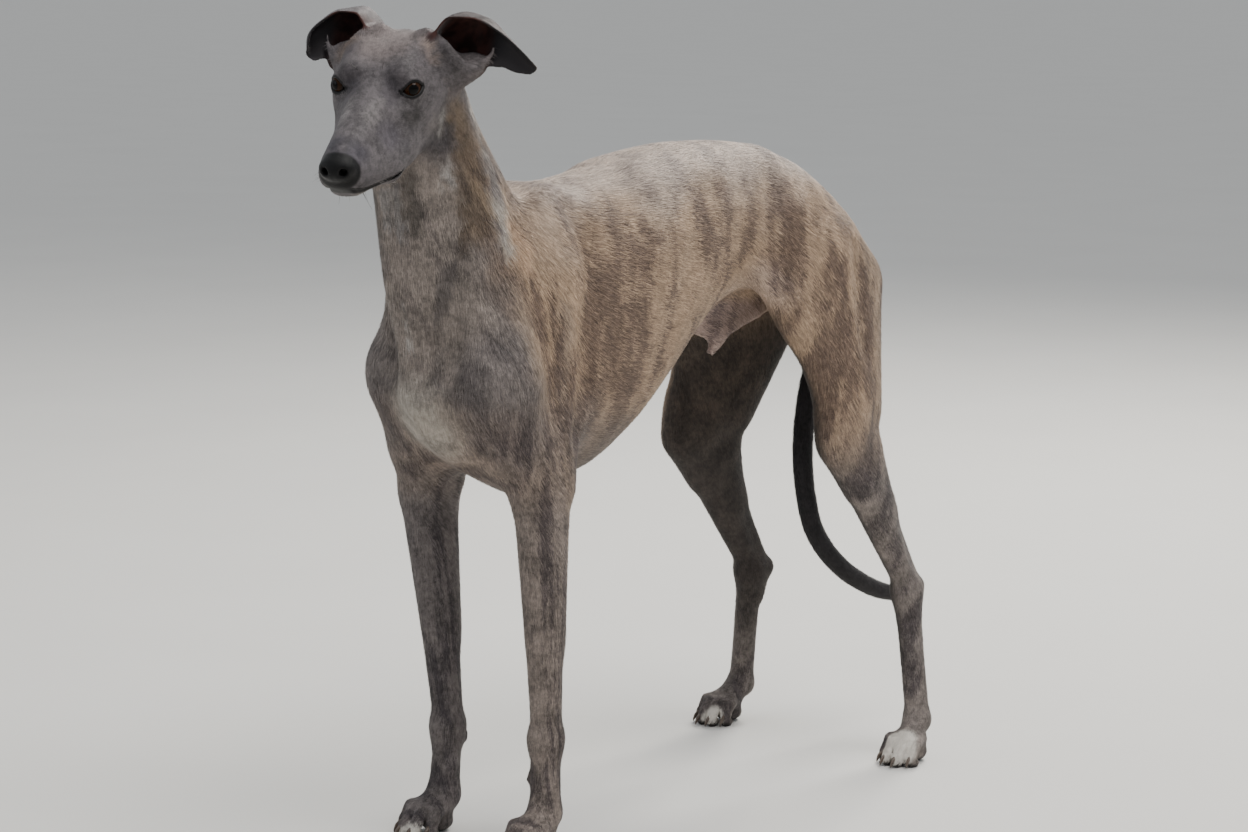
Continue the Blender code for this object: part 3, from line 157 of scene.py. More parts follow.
# The rim of each ear's cup in the head's frame, from its front edge to the pocket below: place and radius
EAR_RIM = {
    LEFT: (
        ((0.0475, -0.0600, 0.0400), 0.0030),
        ((0.0600, -0.0560, 0.0310), 0.0042),
        ((0.0710, -0.0560, 0.0150), 0.0050),
        ((0.0820, -0.0620, 0.0060), 0.0050),
        ((0.0930, -0.0700, 0.0100), 0.0040),
        ((0.1025, -0.0770, 0.0190), 0.0028),
        ((0.1045, -0.0790, 0.0265), 0.0018),
    ),
    RIGHT: (
        ((-0.0300, -0.0660, 0.0400), 0.0026),
        ((-0.0390, -0.0580, 0.0290), 0.0040),
        ((-0.0500, -0.0545, 0.0140), 0.0045),
        ((-0.0600, -0.0560, 0.0110), 0.0038),
        ((-0.0680, -0.0590, 0.0200), 0.0028),
        ((-0.0710, -0.0615, 0.0275), 0.0020),
        ((-0.0718, -0.0635, 0.0335), 0.0016),
    ),
}

# The flesh between the head and each cup: ends and radii
EAR_ROOT = {
    LEFT: (
        ((0.040, -0.070, 0.006), (0.056, -0.066, 0.008), 0.022, 0.014),
        ((0.044, -0.078, -0.012), (0.084, -0.080, 0.006), 0.024, 0.0095),
    ),
    RIGHT: (
        ((-0.030, -0.072, 0.008), (-0.040, -0.066, 0.010), 0.020, 0.012),
        ((-0.036, -0.070, -0.008), (-0.056, -0.064, 0.000), 0.020, 0.009),
    ),
}

# The tail's middle line: place and radius
TAIL = (
    ((0.000, 0.300, 0.644), 0.0200),
    ((-0.001, 0.326, 0.612), 0.0186),
    ((-0.005, 0.334, 0.565), 0.0164),
    ((-0.011, 0.312, 0.490), 0.0140),
    ((-0.011, 0.287, 0.420), 0.0126),
    ((-0.008, 0.277, 0.350), 0.0121),
    ((-0.003, 0.287, 0.278), 0.0119),
    ((0.006, 0.332, 0.216), 0.0115),
    ((0.016, 0.402, 0.175), 0.0104),
    ((0.022, 0.452, 0.161), 0.0074),
)


# Vectors and frames

def vec(*xyz):
    return np.array(xyz, float)


def between(a, b, share):
    """The point that far along the way from a to b."""
    return tuple(np.array(a, float) * (1 - share) + np.array(b, float) * share)


def moved(place, *by):
    return tuple(np.array(place, float) + np.array(by, float))


def head_axes():
    """The head's left, forward and up directions, as the columns of a matrix."""
    forward = vec(math.sin(HEAD_TURN), -math.cos(HEAD_TURN), 0)
    left = vec(math.cos(HEAD_TURN), math.sin(HEAD_TURN), 0)
    up = vec(0, 0, 1)
    down_forward = forward * math.cos(HEAD_DROP) - up * math.sin(HEAD_DROP)
    lifted = forward * math.sin(HEAD_DROP) + up * math.cos(HEAD_DROP)
    return np.stack([
        left * math.cos(HEAD_TILT) + lifted * math.sin(HEAD_TILT),
        down_forward,
        lifted * math.cos(HEAD_TILT) - left * math.sin(HEAD_TILT),
    ], axis=1)


HEAD_AXES = head_axes()


def in_head(x, y, z):
    """A point of the head's frame, in the model's."""
    return tuple(vec(*HEAD_PLACE) + HEAD_AXES @ vec(x, y, z))


def box_in_head(low, high):
    """The model's box round a box of the head's frame."""
    corners = [vec(*in_head(*place)) for place in itertools.product(*zip(low, high))]
    return np.min(corners, axis=0), np.max(corners, axis=0)


def eye_axes(side):
    """An eye's outward, forward and up directions, in the model's frame."""
    forward = vec(side * math.sin(EYE_TURN), math.cos(EYE_TURN), 0)
    outward = vec(side * math.cos(EYE_TURN), -math.sin(EYE_TURN), 0)
    up = vec(0, 0, 1)
    looking = forward * math.cos(EYE_LIFT) + up * math.sin(EYE_LIFT)
    risen = up * math.cos(EYE_LIFT) - forward * math.sin(EYE_LIFT)
    return HEAD_AXES @ np.stack([outward, looking, risen], axis=1)


def eye_centre(side):
    return in_head(side * EYE_PLACE[0], EYE_PLACE[1], EYE_PLACE[2])


# Forms of the field. Each gives distances at x, y, z and the box that holds its surface.

class Rod:
    """A rod from a to b that tapers, may bulge in the middle, and may be thinner across one direction."""

    def __init__(self, a, b, ra, rb, bulge=0.0, across=None, thin=(1.0, 1.0)):
        self.a, self.b, self.ra, self.rb, self.bulge = vec(*a), vec(*b), ra, rb, bulge
        self.across = None if across is None else vec(*across) / np.linalg.norm(across)
        self.thin = thin

    def box(self):
        reach = max(self.ra, self.rb) + abs(self.bulge)
        return np.minimum(self.a, self.b) - reach, np.maximum(self.a, self.b) + reach

    def distance(self, p):
        along = self.b - self.a
        long = np.linalg.norm(along)
        lean = np.clip((self.ra - self.rb) / long, -0.9, 0.9)
        down = (p - self.a) @ along / long
        aside = np.sqrt(np.maximum(((p - self.a) ** 2).sum(1) - down * down, 0))
        share = np.clip((down - aside * lean / math.sqrt(1 - lean * lean)) / long, 0, 1)
        off = p - self.a - share[:, None] * along
        radius = self.ra + (self.rb - self.ra) * share + self.bulge * 4 * share * (1 - share)
        far = np.sqrt((off * off).sum(1)) + 1e-7
        if self.across is None:
            return far - radius
        squeeze = self.thin[0] + (self.thin[1] - self.thin[0]) * share
        flat = off @ self.across
        return far - radius * far / np.sqrt(far * far + flat * flat * (squeeze * squeeze - 1))


class Chain:
    """A smooth round cord through places with their radii."""

    def __init__(self, stations, pieces):
        at = np.arange(len(stations), dtype=float)
        rows = np.array([(*place, radius) for place, radius in stations])
        t = np.linspace(0, at[-1], pieces + 1)
        self.fine = np.stack([smooth_curve(at, rows[:, k])(t) for k in range(4)], 1)

    def box(self):
        reach = self.fine[:, 3:]
        return (self.fine[:, :3] - reach).min(0), (self.fine[:, :3] + reach).max(0)

    def distance(self, p):
        near, place = np.full(len(p), np.inf), np.zeros(len(p))
        for i, (a, b) in enumerate(zip(self.fine[:, :3], self.fine[1:, :3])):
            along = b - a
            share = np.clip((p - a) @ along / (along @ along), 0, 1)
            step = p - a - share[:, None] * along
            far = (step * step).sum(1)
            closer = far < near
            near[closer], place[closer] = far[closer], i + share[closer]
        return np.sqrt(near) - np.interp(place, np.arange(len(self.fine)), self.fine[:, 3])


class Column:
    """A smooth limb along a straight axis: oval sections, whose middle may stray from the axis."""

    def __init__(self, stations, across):
        places = np.array([place for place, _, _ in stations], float)
        self.start = places[0]
        self.axis = (places[-1] - places[0]) / np.linalg.norm(places[-1] - places[0])
        self.across = vec(*across) - self.axis * (vec(*across) @ self.axis)
        self.across /= np.linalg.norm(self.across)
        self.deep = np.cross(self.axis, self.across)
        off = places - self.start
        self.at = off @ self.axis
        sizes = np.array([(wide, depth) for _, depth, wide in stations])
        self.curves = [smooth_curve(self.at, v) for v in (off @ self.across, off @ self.deep, *sizes.T)]
        self.reach = sizes.max()
        self.places = places

    def box(self):
        return self.places.min(0) - self.reach, self.places.max(0) + self.reach

    def distance(self, p):
        q = p - self.start
        t = np.clip(q @ self.axis, 0, self.at[-1])
        aside, ahead, wide, depth = (curve(t) for curve in self.curves)
        u, v = q @ self.across - aside, q @ self.deep - ahead
        size = np.sqrt((u / wide) ** 2 + (v / depth) ** 2) + 1e-6
        out = np.sqrt(u * u + v * v)
        past = np.abs(q @ self.axis - t)
        return np.where(past > 0, np.sqrt(np.maximum(out - out / size, 0) ** 2 + past ** 2), out - out / size)


class Below:
    """A form cut off by a plane, whose normal points to the side that goes."""

    def __init__(self, form, point, normal):
        self.form, self.point, self.normal = form, vec(*point), vec(*normal) / np.linalg.norm(normal)

    def box(self):
        return self.form.box()

    def distance(self, p):
        return np.maximum(self.form.distance(p), (p - self.point) @ self.normal)


class Ball:
    """An ellipsoid with its radii along the columns of axes."""

    def __init__(self, centre, radii, axes=None):
        self.centre, self.radii = vec(*centre), vec(*radii)
        self.axes = np.eye(3) if axes is None else np.array(axes, float)

    def box(self):
        reach = np.sqrt(((self.axes * self.radii) ** 2).sum(1))
        return self.centre - reach, self.centre + reach

    def distance(self, p):
        q = (p - self.centre) @ self.axes
        near = np.sqrt(((q / self.radii) ** 2).sum(1)) + 1e-9
        slope = np.sqrt(((q / self.radii ** 2) ** 2).sum(1)) + 1e-9
        return near * (near - 1) / slope


class Barrel:
    """The trunk: sections across y, each round above its widest place and keeled below it."""

    def __init__(self, rows):
        self.rows = np.array(rows, float)
        self.curves = [smooth_curve(self.rows[:, 0], self.rows[:, k]) for k in range(1, 5)]

    def box(self):
        wide = self.rows[:, 4].max()
        return (
            vec(-wide, self.rows[0, 0], self.rows[:, 3].min()),
            vec(wide, self.rows[-1, 0], self.rows[:, 1].max()),
        )

    def distance(self, p):
        y = np.clip(p[:, 1], self.rows[0, 0], self.rows[-1, 0])
        top, mid, low, half = (curve(y) for curve in self.curves)
        rise = p[:, 2] - mid
        above = rise > 0
        tall = np.maximum(np.where(above, top - mid, mid - low), 0.004)
        n = np.where(above, BACK_ROUNDNESS, KEEL_ROUNDNESS)
        half = np.maximum(half, 0.004)
        size = ((np.abs(p[:, 0]) / half) ** n + (np.abs(rise) / tall) ** n) ** (1 / n) + 1e-6
        out = np.sqrt(p[:, 0] ** 2 + rise ** 2)
        past = np.abs(p[:, 1] - y)
        return np.where(past > 0, np.sqrt(np.maximum(out - out / size, 0) ** 2 + past ** 2), out - out / size)


class Opening:
    """The almond between the lids: a cone from the eye's centre, wide by tall in radians."""

    def __init__(self, side, wide, tall, lift, start):
        self.centre, self.axes, self.shift = vec(*eye_centre(side)), eye_axes(side), side * math.radians(4)
        self.wide, self.tall, self.lift, self.start = wide, tall, lift, start

    def box(self):
        ahead = self.centre + self.axes[:, 1] * EYE_RADIUS
        return ahead - EYE_RADIUS * 1.3, ahead + EYE_RADIUS * 1.3

    def distance(self, p):
        q = (p - self.centre) @ self.axes
        far = np.sqrt((q * q).sum(1)) + 1e-9
        aside = (np.arctan2(q[:, 0], q[:, 1]) - self.shift) / self.wide
        corner = np.clip(1 - aside * aside, 0, 1)
        upper = self.tall * corner + self.lift * aside
        lower = -self.tall * 0.8 * corner + self.lift * aside
        height = np.arcsin(np.clip(q[:, 2] / far, -1, 1))
        past = np.maximum(np.maximum(height - upper, lower - height), (np.abs(aside) - 1) * self.wide)
        return np.maximum(past * far, self.start - far)


class LipLine:
    """The mouth's slit: a thin sheet that follows the lips from one corner round the chin to the other."""

    def __init__(self, half_gap, depth):
        self.half_gap, self.depth = half_gap, depth

    def box(self):
        return box_in_head((-0.037, 0.03, -0.082), (0.037, 0.13, -0.062))

    def distance(self, p):
        q = (p - vec(*HEAD_PLACE)) @ HEAD_AXES
        sheet = np.abs(q[:, 2] - lip_height(q[:, 1])) - self.half_gap
        inner = np.abs(q[:, 0]) - lip_half_width(q[:, 1]) + self.depth
        behind = MOUTH_CORNER - q[:, 1]
        ahead_core = np.maximum(inner, q[:, 1] - MOUTH_FRONT + self.depth)
        return np.maximum(np.maximum(sheet, behind), -ahead_core)


class Leaf:
    """A curved sheet of even thickness with a round edge, which the coat's depth doesn't thin."""

    def __init__(self, grid, half):
        self.points, self.half = grid.reshape(-1, 3), half
        rows, columns = grid.shape[:2]
        corner = np.arange(rows * columns).reshape(rows, columns)
        ring = corner[:-1, :-1], corner[1:, :-1], corner[1:, 1:], corner[:-1, 1:]
        self.tree = BVHTree.FromPolygons(self.points.tolist(), np.stack(ring, -1).reshape(-1, 4).tolist())

    def box(self):
        return self.points.min(0) - self.half, self.points.max(0) + self.half

    def plain_distance(self, p):
        """Distance from the sheet's middle for points near it, and far for the rest."""
        far = np.full(len(p), 1.0)
        low, high = self.box()
        near = np.flatnonzero(((p > low - REACH) & (p < high + REACH)).all(1))
        far[near] = [self.tree.find_nearest(Vector(q))[3] for q in p[near]]
        return far

    def distance(self, p):
        return self.plain_distance(p) - self.half - coat_depth(p)


MOUTH_CORNER, MOUTH_FRONT = 0.034, 0.130


def lip_height(y):
    """Height of the line between the lips in the head's frame, lowest under the middle of the muzzle."""
    share = np.clip((y - MOUTH_CORNER) / (MOUTH_FRONT - MOUTH_CORNER), 0, 1)
    return -0.0757 - 0.0130 * share * (1 - share) + 0.0087 * share ** 3


def lip_half_width(y):
    share = np.clip((y - MOUTH_CORNER) / (MOUTH_FRONT - MOUTH_CORNER), 0, 1)
    return 0.036 - 0.020 * share - 0.003 * share ** 4


def smooth_curve(at, values):
    """A function through the values that neither overshoots nor kinks."""
    step = np.diff(at)
    slope = np.diff(values) / step
    lean = np.zeros(len(at))
    same = slope[:-1] * slope[1:] > 0
    w1, w2 = 2 * step[1:] + step[:-1], step[1:] + 2 * step[:-1]
    with np.errstate(divide="ignore", invalid="ignore"):
        mean = (w1 + w2) / (w1 / slope[:-1] + w2 / slope[1:])
    lean[1:-1] = np.where(same, mean, 0)
    lean[0], lean[-1] = slope[0], slope[-1]

    def curve(t):
        i = np.clip(np.searchsorted(at, t) - 1, 0, len(step) - 1)
        s = (t - at[i]) / step[i]
        return (
            values[i] * (1 + 2 * s) * (1 - s) ** 2 + values[i + 1] * s * s * (3 - 2 * s)
            + step[i] * (lean[i] * s * (1 - s) ** 2 - lean[i + 1] * s * s * (1 - s))
        )

    return curve


class Clay:
    """Forms added or carved one after another, each with its own softness of blend."""

    def __init__(self):
        self.steps = []

    def add(self, form, blend=0.012):
        self.steps.append((form, blend, 1))

    def carve(self, form, blend=0.002):
        self.steps.append((form, blend, -1))

    def distance(self, points):
        found = np.full(len(points), 1.0)
        for form, blend, sign in self.steps:
            low, high = form.box()
            margin = blend + REACH
            near = np.flatnonzero(((points > low - margin) & (points < high + margin)).all(1))
            if not len(near):
                continue
            other = form.distance(points[near])
            mine = found[near]
            if sign > 0:
                soft = np.maximum(blend - np.abs(mine - other), 0) / blend
                found[near] = np.minimum(mine, other) - soft * soft * blend / 4
            else:
                soft = np.maximum(blend - np.abs(mine + other), 0) / blend
                found[near] = np.maximum(mine, -other) + soft * soft * blend / 4
        return found


# The dog

def add_trunk(clay):
    clay.add(Barrel(TRUNK), 0.02)
    clay.add(Rod((0, -0.366, 0.505), (0, -0.250, 0.402), 0.024, 0.012), 0.03)      # breastbone
    clay.add(Rod((0, -0.235, 0.706), (0, -0.130, 0.716), 0.010, 0.010), 0.02)      # withers
    for side in (LEFT, RIGHT):
        hip_bone = (side * 0.030, 0.190, 0.700), (side * 0.044, 0.212, 0.678)
        loin = (side * 0.030, -0.08, 0.708), (side * 0.028, 0.14, 0.718)
        seat = (side * 0.026, 0.290, 0.625), (side * 0.046, 0.308, 0.585)
        clay.add(Rod(*hip_bone, 0.012, 0.016), 0.02)
        clay.add(Rod(*loin, 0.020, 0.018), 0.03)
        clay.add(Rod(*seat, 0.024, 0.022), 0.02)


def add_neck(clay):
    clay.add(Column(NECK, (1, 0, 0)), 0.02)
    for side in (LEFT, RIGHT):
        jaw = in_head(side * 0.034, -0.100, -0.020)
        clay.add(Rod(jaw, (side * 0.044, -0.340, 0.560), 0.018, 0.025), 0.03)      # muscle to the shoulder
    clay.add(Rod((-0.012, -0.416, 0.776), (-0.006, -0.376, 0.560), 0.019, 0.025), 0.03)  # windpipe


def behind(place, side, turn, back, up=0.0):
    """A place behind another, for a leg turned outwards."""
    return moved(place, -side * math.sin(turn) * back, math.cos(turn) * back, up)


def leg_tools(clay, side, turn):
    """How a leg is built: a rod that may be thinner across the leg, and a place behind another."""
    flat = (math.cos(turn), side * math.sin(turn), 0)

    def rod(a, b, ra, rb, blend, thin=None, bulge=0.0):
        clay.add(Rod(a, b, ra, rb, bulge, None if thin is None else flat, thin or (1, 1)), blend)

    def back(place, far, up=0.0):
        return behind(place, side, turn, far, up)

    return rod, back


def add_foreleg(clay, side):
    """Shoulder blade and upper arm with their muscles, elbow, forearm, wrist with its pad, and paw."""
    shoulder, elbow, carpus, paw = SHOULDER[side], ELBOW[side], CARPUS[side], FORE_PAW[side]
    rod, back = leg_tools(clay, side, FORE_TURN)
    blade, arm = moved(shoulder, -side * 0.010, 0.010, 0), moved(shoulder, -side * 0.007, 0.004, 0.01)
    rod((side * 0.036, -0.225, 0.690), blade, 0.031, 0.036, 0.035, (1.6, 1.3))
    rod((side * 0.045, -0.312, 0.650), arm, 0.026, 0.030, 0.04, (1.3, 1.2))
    point, bend = moved(shoulder, -side * 0.010, 0.008, -0.02), moved(elbow, 0, -0.006, 0.026)
    rod(point, bend, 0.038, 0.035, 0.045, (1.2, 1.1))
    rod((side * 0.014, -0.346, 0.518), moved(elbow, -side * 0.020, -0.024, 0.075), 0.030, 0.030, 0.045)
    rod((side * 0.061, -0.232, 0.600), back(elbow, 0.003, 0.036), 0.049, 0.027, 0.028, (1.45, 1.15), 0.002)
    rod(back(elbow, 0.010, 0.014), back(elbow, 0.021, 0.002), 0.012, 0.0090, 0.012)
    wrist_top = moved(carpus, 0, 0, 0.012)
    rod(back(elbow, -0.009, 0.010), wrist_top, 0.0305, 0.0180, 0.02, (1.15, 1.0), -0.0005)
    rod(moved(elbow, side * 0.003, -0.012, 0.0), between(elbow, carpus, 0.55), 0.020, 0.012, 0.02)
    rod(back(elbow, 0.008, -0.02), back(between(elbow, carpus, 0.62), 0.004), 0.016, 0.009, 0.02)
    clay.add(Ball(moved(carpus, 0, -0.002, 0.0), (0.0185, 0.0190, 0.0230)), 0.014)
    clay.add(Ball(back(carpus, 0.0195, -0.012), (0.0070, 0.0080, 0.0090)), 0.008)     # stopper pad
    wrist = moved(paw, -side * 0.002, 0.012, 0.040)
    rod(carpus, wrist, 0.0165, 0.0175, 0.014)
    inner = between(carpus, wrist, 0.40)
    dew_root = moved(inner, -side * 0.0120, -0.002, 0.004)
    dew_tip = moved(inner, -side * 0.0165, -0.008, -0.012)
    rod(dew_root, dew_tip, 0.0060, 0.0050, 0.006)
    add_paw(clay, paw, wrist, FORE_PAW_SCALE)


def add_hindleg(clay, side):
    """Thigh, fold of the flank, knee, calf with its tendon, heel, hock and paw."""
    hip, stifle, hock = HIP[side], STIFLE[side], HOCK[side]
    toe_joint, paw = TOE_JOINT[side], HIND_PAW[side]
    rod, back = leg_tools(clay, side, HIND_TURN)
    inside = moved(stifle, -side * 0.004, 0, 0)
    thigh = moved(hip, -side * 0.002, -0.030, -0.014)
    rod(thigh, back(inside, 0.030, 0.032), 0.070, 0.048, 0.03, (1.65, 1.45))
    rod((side * 0.057, 0.284, 0.566), back(inside, 0.069, 0.014), 0.050, 0.031, 0.025, (1.4, 1.3))
    rod((side * 0.048, 0.165, 0.650), (side * 0.072, 0.172, 0.560), 0.034, 0.034, 0.04, (1.6, 1.6))
    rod((side * 0.052, 0.132, 0.600), back(inside, 0.012, 0.045), 0.022, 0.022, 0.035, (1.9, 1.6))
    clay.add(Ball(moved(stifle, 0, 0.002, 0.004), (0.021, 0.024, 0.033)), 0.03)
    rod(back(stifle, -0.006, -0.020), back(between(stifle, hock, 0.34), -0.010), 0.0160, 0.0120, 0.02)
    rod(back(stifle, 0.014, -0.008), moved(hock, 0, -0.004, 0.012), 0.0345, 0.0145, 0.022, (1.35, 1.05))
    calf, low_calf = between(stifle, hock, 0.18), between(stifle, hock, 0.55)
    rod(back(calf, 0.036, 0.004), back(low_calf, 0.022, 0.012), 0.030, 0.014, 0.022, (1.35, 1.2))
    heel = back(hock, 0.0225, 0.0040)
    rod(back(between(stifle, hock, 0.50), 0.024, 0.014), heel, 0.0110, 0.0085, 0.012)
    tendon = back(between(stifle, hock, 0.62), 0.015, 0.008), back(hock, 0.012, 0.018)
    rod(*tendon, 0.012, 0.009, 0.010, (3.4, 3.0))
    clay.add(Ball(heel, (0.0100, 0.0095, 0.0115)), 0.010)
    rod(heel, back(hock, 0.008, -0.030), 0.0095, 0.0110, 0.012)
    clay.add(Ball(moved(hock, 0, -0.001, 0.002), (0.0185, 0.0185, 0.0230)), 0.014)
    rod(hock, toe_joint, 0.0165, 0.0150, 0.014)
    add_paw(clay, paw, moved(toe_joint, 0, -0.002, -0.004), HIND_PAW_SCALE)


TOES = ((-0.0205, 0.028), (-0.0075, 0.041), (0.0075, 0.041), (0.0205, 0.028))   # aside and forward


def add_paw(clay, place, root, scale):
    """Four arched toes with pads and claws' roots, and the heel pad, cut level with the floor later."""
    def at(aside, ahead, up):
        return moved(place, aside * scale, -ahead * scale, up * scale)

    def rod(a, b, ra, rb, blend):
        clay.add(Rod(a, b, ra * scale, rb * scale), blend)

    def ball(centre, radii, blend):
        clay.add(Ball(centre, vec(*radii) * scale), blend)

    rod(root, at(0, 0.006, 0.030), 0.0165, 0.0150, 0.012)
    for aside, ahead in TOES:
        knuckle = at(aside * 0.95, ahead * 0.62, 0.0285)
        rod(at(aside * 0.55, -0.004, 0.030), knuckle, 0.0085, 0.0082, 0.008)
        rod(knuckle, at(aside * 1.06, ahead, 0.0125), 0.0080, 0.0072, 0.0035)
        ball(at(aside * 1.05, ahead - 0.003, 0.0045), (0.0075, 0.0110, 0.0062), 0.004)
        claw = at(aside * 1.08, ahead + 0.004, 0.0120), at(aside * 1.12, ahead + 0.0135, 0.0045)
        rod(*claw, 0.0030, 0.0012, 0.0015)
    ball(at(0, -0.003, 0.0110), (0.0185, 0.0185, 0.0125), 0.012)


def tail_form(extra=0.0):
    return Chain([(place, radius + extra) for place, radius in TAIL], 44)


# The sheath under the belly, its fold of skin and its tip: ends, radii, blend and flattening
SHEATH = (
    ((0, 0.070, 0.560), (0, 0.190, 0.562), 0.0220, 0.0200, 0.020, (2.2, 1.8)),
    ((0, 0.172, 0.548), (0, 0.104, 0.524), 0.0100, 0.0095, 0.014, (1.2, 1.2)),
    ((0, 0.106, 0.520), (0, 0.088, 0.501), 0.0100, 0.0060, 0.008, (1.5, 1.3)),
    ((0, 0.104, 0.530), (0, 0.046, 0.532), 0.0120, 0.0080, 0.012, (2.0, 2.2)),
)


def add_sheath(clay):
    for start, end, ra, rb, blend, thin in SHEATH:
        clay.add(Rod(start, end, ra, rb, across=(1, 0, 0), thin=thin), blend)


# Furrows between the muscles of the left side, mirrored: radius, depth, blend and places near the skin
FURROWS = (
    # Behind the arm
    (0.014, 0.0050, 0.012, (
        (0.058, -0.214, 0.702), (0.076, -0.204, 0.672), (0.090, -0.205, 0.645), (0.098, -0.214, 0.615),
        (0.100, -0.228, 0.570), (0.099, -0.229, 0.510), (0.094, -0.236, 0.455),
    )),
    # Beside the windpipe
    (0.015, 0.0045, 0.012, (
        (0.047, -0.386, 0.720), (0.050, -0.383, 0.666), (0.047, -0.379, 0.617), (0.039, -0.375, 0.572),
        (0.041, -0.384, 0.533),
    )),
    # Between neck and shoulder
    (0.016, 0.0030, 0.012, (
        (0.050, -0.286, 0.715), (0.060, -0.292, 0.690), (0.076, -0.322, 0.655), (0.078, -0.348, 0.620),
    )),
    # Flank
    (0.020, 0.0040, 0.012, (
        (0.062, 0.130, 0.710), (0.070, 0.128, 0.680), (0.077, 0.129, 0.630), (0.076, 0.124, 0.587),
    )),
    # Thigh
    (0.014, 0.0025, 0.012, ((0.101, 0.245, 0.624), (0.111, 0.240, 0.566), (0.122, 0.238, 0.508))),
    # Behind the last rib
    (0.020, 0.0025, 0.012, (
        (0.072, 0.012, 0.710), (0.093, -0.034, 0.654), (0.102, -0.075, 0.591), (0.095, -0.098, 0.537),
    )),
    # Behind the jaw
    (0.010, 0.0030, 0.008, ((0.052, -0.392, 0.800), (0.047, -0.396, 0.772), (0.036, -0.406, 0.752))),
)


def add_relief(clay):
    """Shallow furrows, each a round cord laid on the surface so that it presses in by its depth."""
    for side in (LEFT, RIGHT):
        for radius, depth, blend, places in FURROWS:
            at = np.array(places) * (side, 1, 1)
            value = clay.distance(at)
            slope = np.stack([clay.distance(at + SLOPE_REACH * axis) - value for axis in np.eye(3)], 1)
            out = slope / np.linalg.norm(slope, axis=1, keepdims=True)
            laid = at + out * (radius - depth - value)[:, None]
            clay.carve(Chain([(place, radius) for place in laid], 4 * len(places)), blend)


def add_skull(clay):
    """The head without its ears: skull, brows, cheeks, muzzle, jaw, nose, eyes' sockets and mouth."""
    def rod(a, b, ra, rb, blend=0.014, **more):
        clay.add(Rod(in_head(*a), in_head(*b), ra, rb, **more), blend)

    def ball(centre, radii, blend=0.014):
        clay.add(Ball(in_head(*centre), radii, HEAD_AXES), blend)

    across = tuple(HEAD_AXES[:, 0])
    ball((0, -0.066, -0.001), (0.0480, 0.0700, 0.0375))                              # skull
    rod((0, -0.070, 0.018), (0, -0.130, 0.009), 0.015, 0.014)                        # crest of the nape
    bridge = (0, -0.014, -0.012), (0, 0.110, -0.0450)
    rod(*bridge, 0.0285, 0.0192, 0.014, across=across, thin=(1.0, 1.02))
    rod((0, -0.030, -0.060), (0, 0.094, -0.0725), 0.0250, 0.0092, 0.010)             # floor of the jaw
    for side in (LEFT, RIGHT):
        ball((side * 0.026, -0.060, 0.013), (0.0240, 0.0460, 0.0240))                # dome beside the furrow
        ball((side * 0.0265, -0.012, 0.0130), (0.0135, 0.0180, 0.0105), 0.014)       # brow
        ball((side * 0.0350, -0.046, -0.0310), (0.0185, 0.0440, 0.0330), 0.024)      # cheek
        rod((side * 0.0240, 0.012, -0.0260), (side * 0.0440, -0.048, -0.0130), 0.0085, 0.0115, 0.022)
        rod((side * 0.0290, -0.056, -0.0620), (side * 0.0225, 0.040, -0.0725), 0.0160, 0.0125, 0.012)
        rod((side * 0.0225, 0.040, -0.0725), (side * 0.0075, 0.098, -0.0728), 0.0125, 0.0074, 0.012)
        rod((side * 0.0235, 0.006, -0.0510), (side * 0.0108, 0.107, -0.0590), 0.0185, 0.0125, 0.020)
    add_nose(clay, ball)
    for side in (LEFT, RIGHT):
        clay.add(Ball(eye_centre(side), (EYE_RADIUS + 0.0020,) * 3), 0.010)
        clay.carve(Opening(side, *EYE_OPENING), 0.0012)
    clay.carve(LipLine(0.0010, 0.0045), 0.0015)
    for side in (LEFT, RIGHT):
        add_ear_root(clay, side)


# Each nostril's round opening and the slit at its side: ends, radii and blend
NOSTRIL = (
    ((0.0105, 0.1400, -0.0480), (0.0090, 0.1290, -0.0455), 0.0044, 0.0030, 0.0020),
    ((0.0120, 0.1385, -0.0495), (0.0185, 0.1310, -0.0520), 0.0024, 0.0014, 0.0015),
)


def add_nose(clay, ball):
    """The nose leather with its comma nostrils and the groove between them."""
    ball((0, 0.1230, -0.0460), (0.0195, 0.0150, 0.0140), 0.004)
    ball((0, 0.1100, -0.0605), (0.0148, 0.0135, 0.0085), 0.006)
    for side in (LEFT, RIGHT):
        for start, end, ra, rb, blend in NOSTRIL:
            ends = (in_head(*(vec(*place) * (side, 1, 1))) for place in (start, end))
            clay.carve(Rod(*ends, ra, rb), blend)
    clay.carve(Rod(in_head(0, 0.1400, -0.0500), in_head(0, 0.1300, -0.0620), 0.0010, 0.0010), 0.002)


def add_ear_root(clay, side):
    """The root of an ear: the front and lower walls of its cup, which the ear itself closes behind."""
    for start, end, ra, rb in EAR_ROOT[side]:
        clay.add(Rod(in_head(*start), in_head(*end), ra, rb), 0.014)
    rim = [(in_head(*place), radius) for place, radius in EAR_RIM[side]]
    wall = [(in_head(*moved(place, -side * 0.012, -0.008, -0.006)), 0.0110) for place, _ in EAR_RIM[side][:5]]
    clay.add(Chain(wall, 10), 0.014)
    clay.add(Chain(rim, 18), 0.010)


def whole_dog():
    """The dog without its ears, eyes and tail, but with the tail's short root."""
    clay = Clay()
    add_trunk(clay)
    add_neck(clay)
    for side in (LEFT, RIGHT):
        add_foreleg(clay, side)
        add_hindleg(clay, side)
    add_relief(clay)
    add_sheath(clay)
    clay.carve(Below(tail_form(TAIL_ROOM), TAIL_CUT[0], TAIL_CUT[1]), 0.006)
    clay.add(Below(tail_form(), TAIL_CUT[0], -vec(*TAIL_CUT[1])), 0.010)
    clay.carve(Below(tail_form(TAIL_ROOM), TAIL_CUT[0], TAIL_CUT[1]), 0.001)
    add_skull(clay)
    for side in (LEFT, RIGHT):
        clay.add(LEAVES[side], 0.004)
    return clay


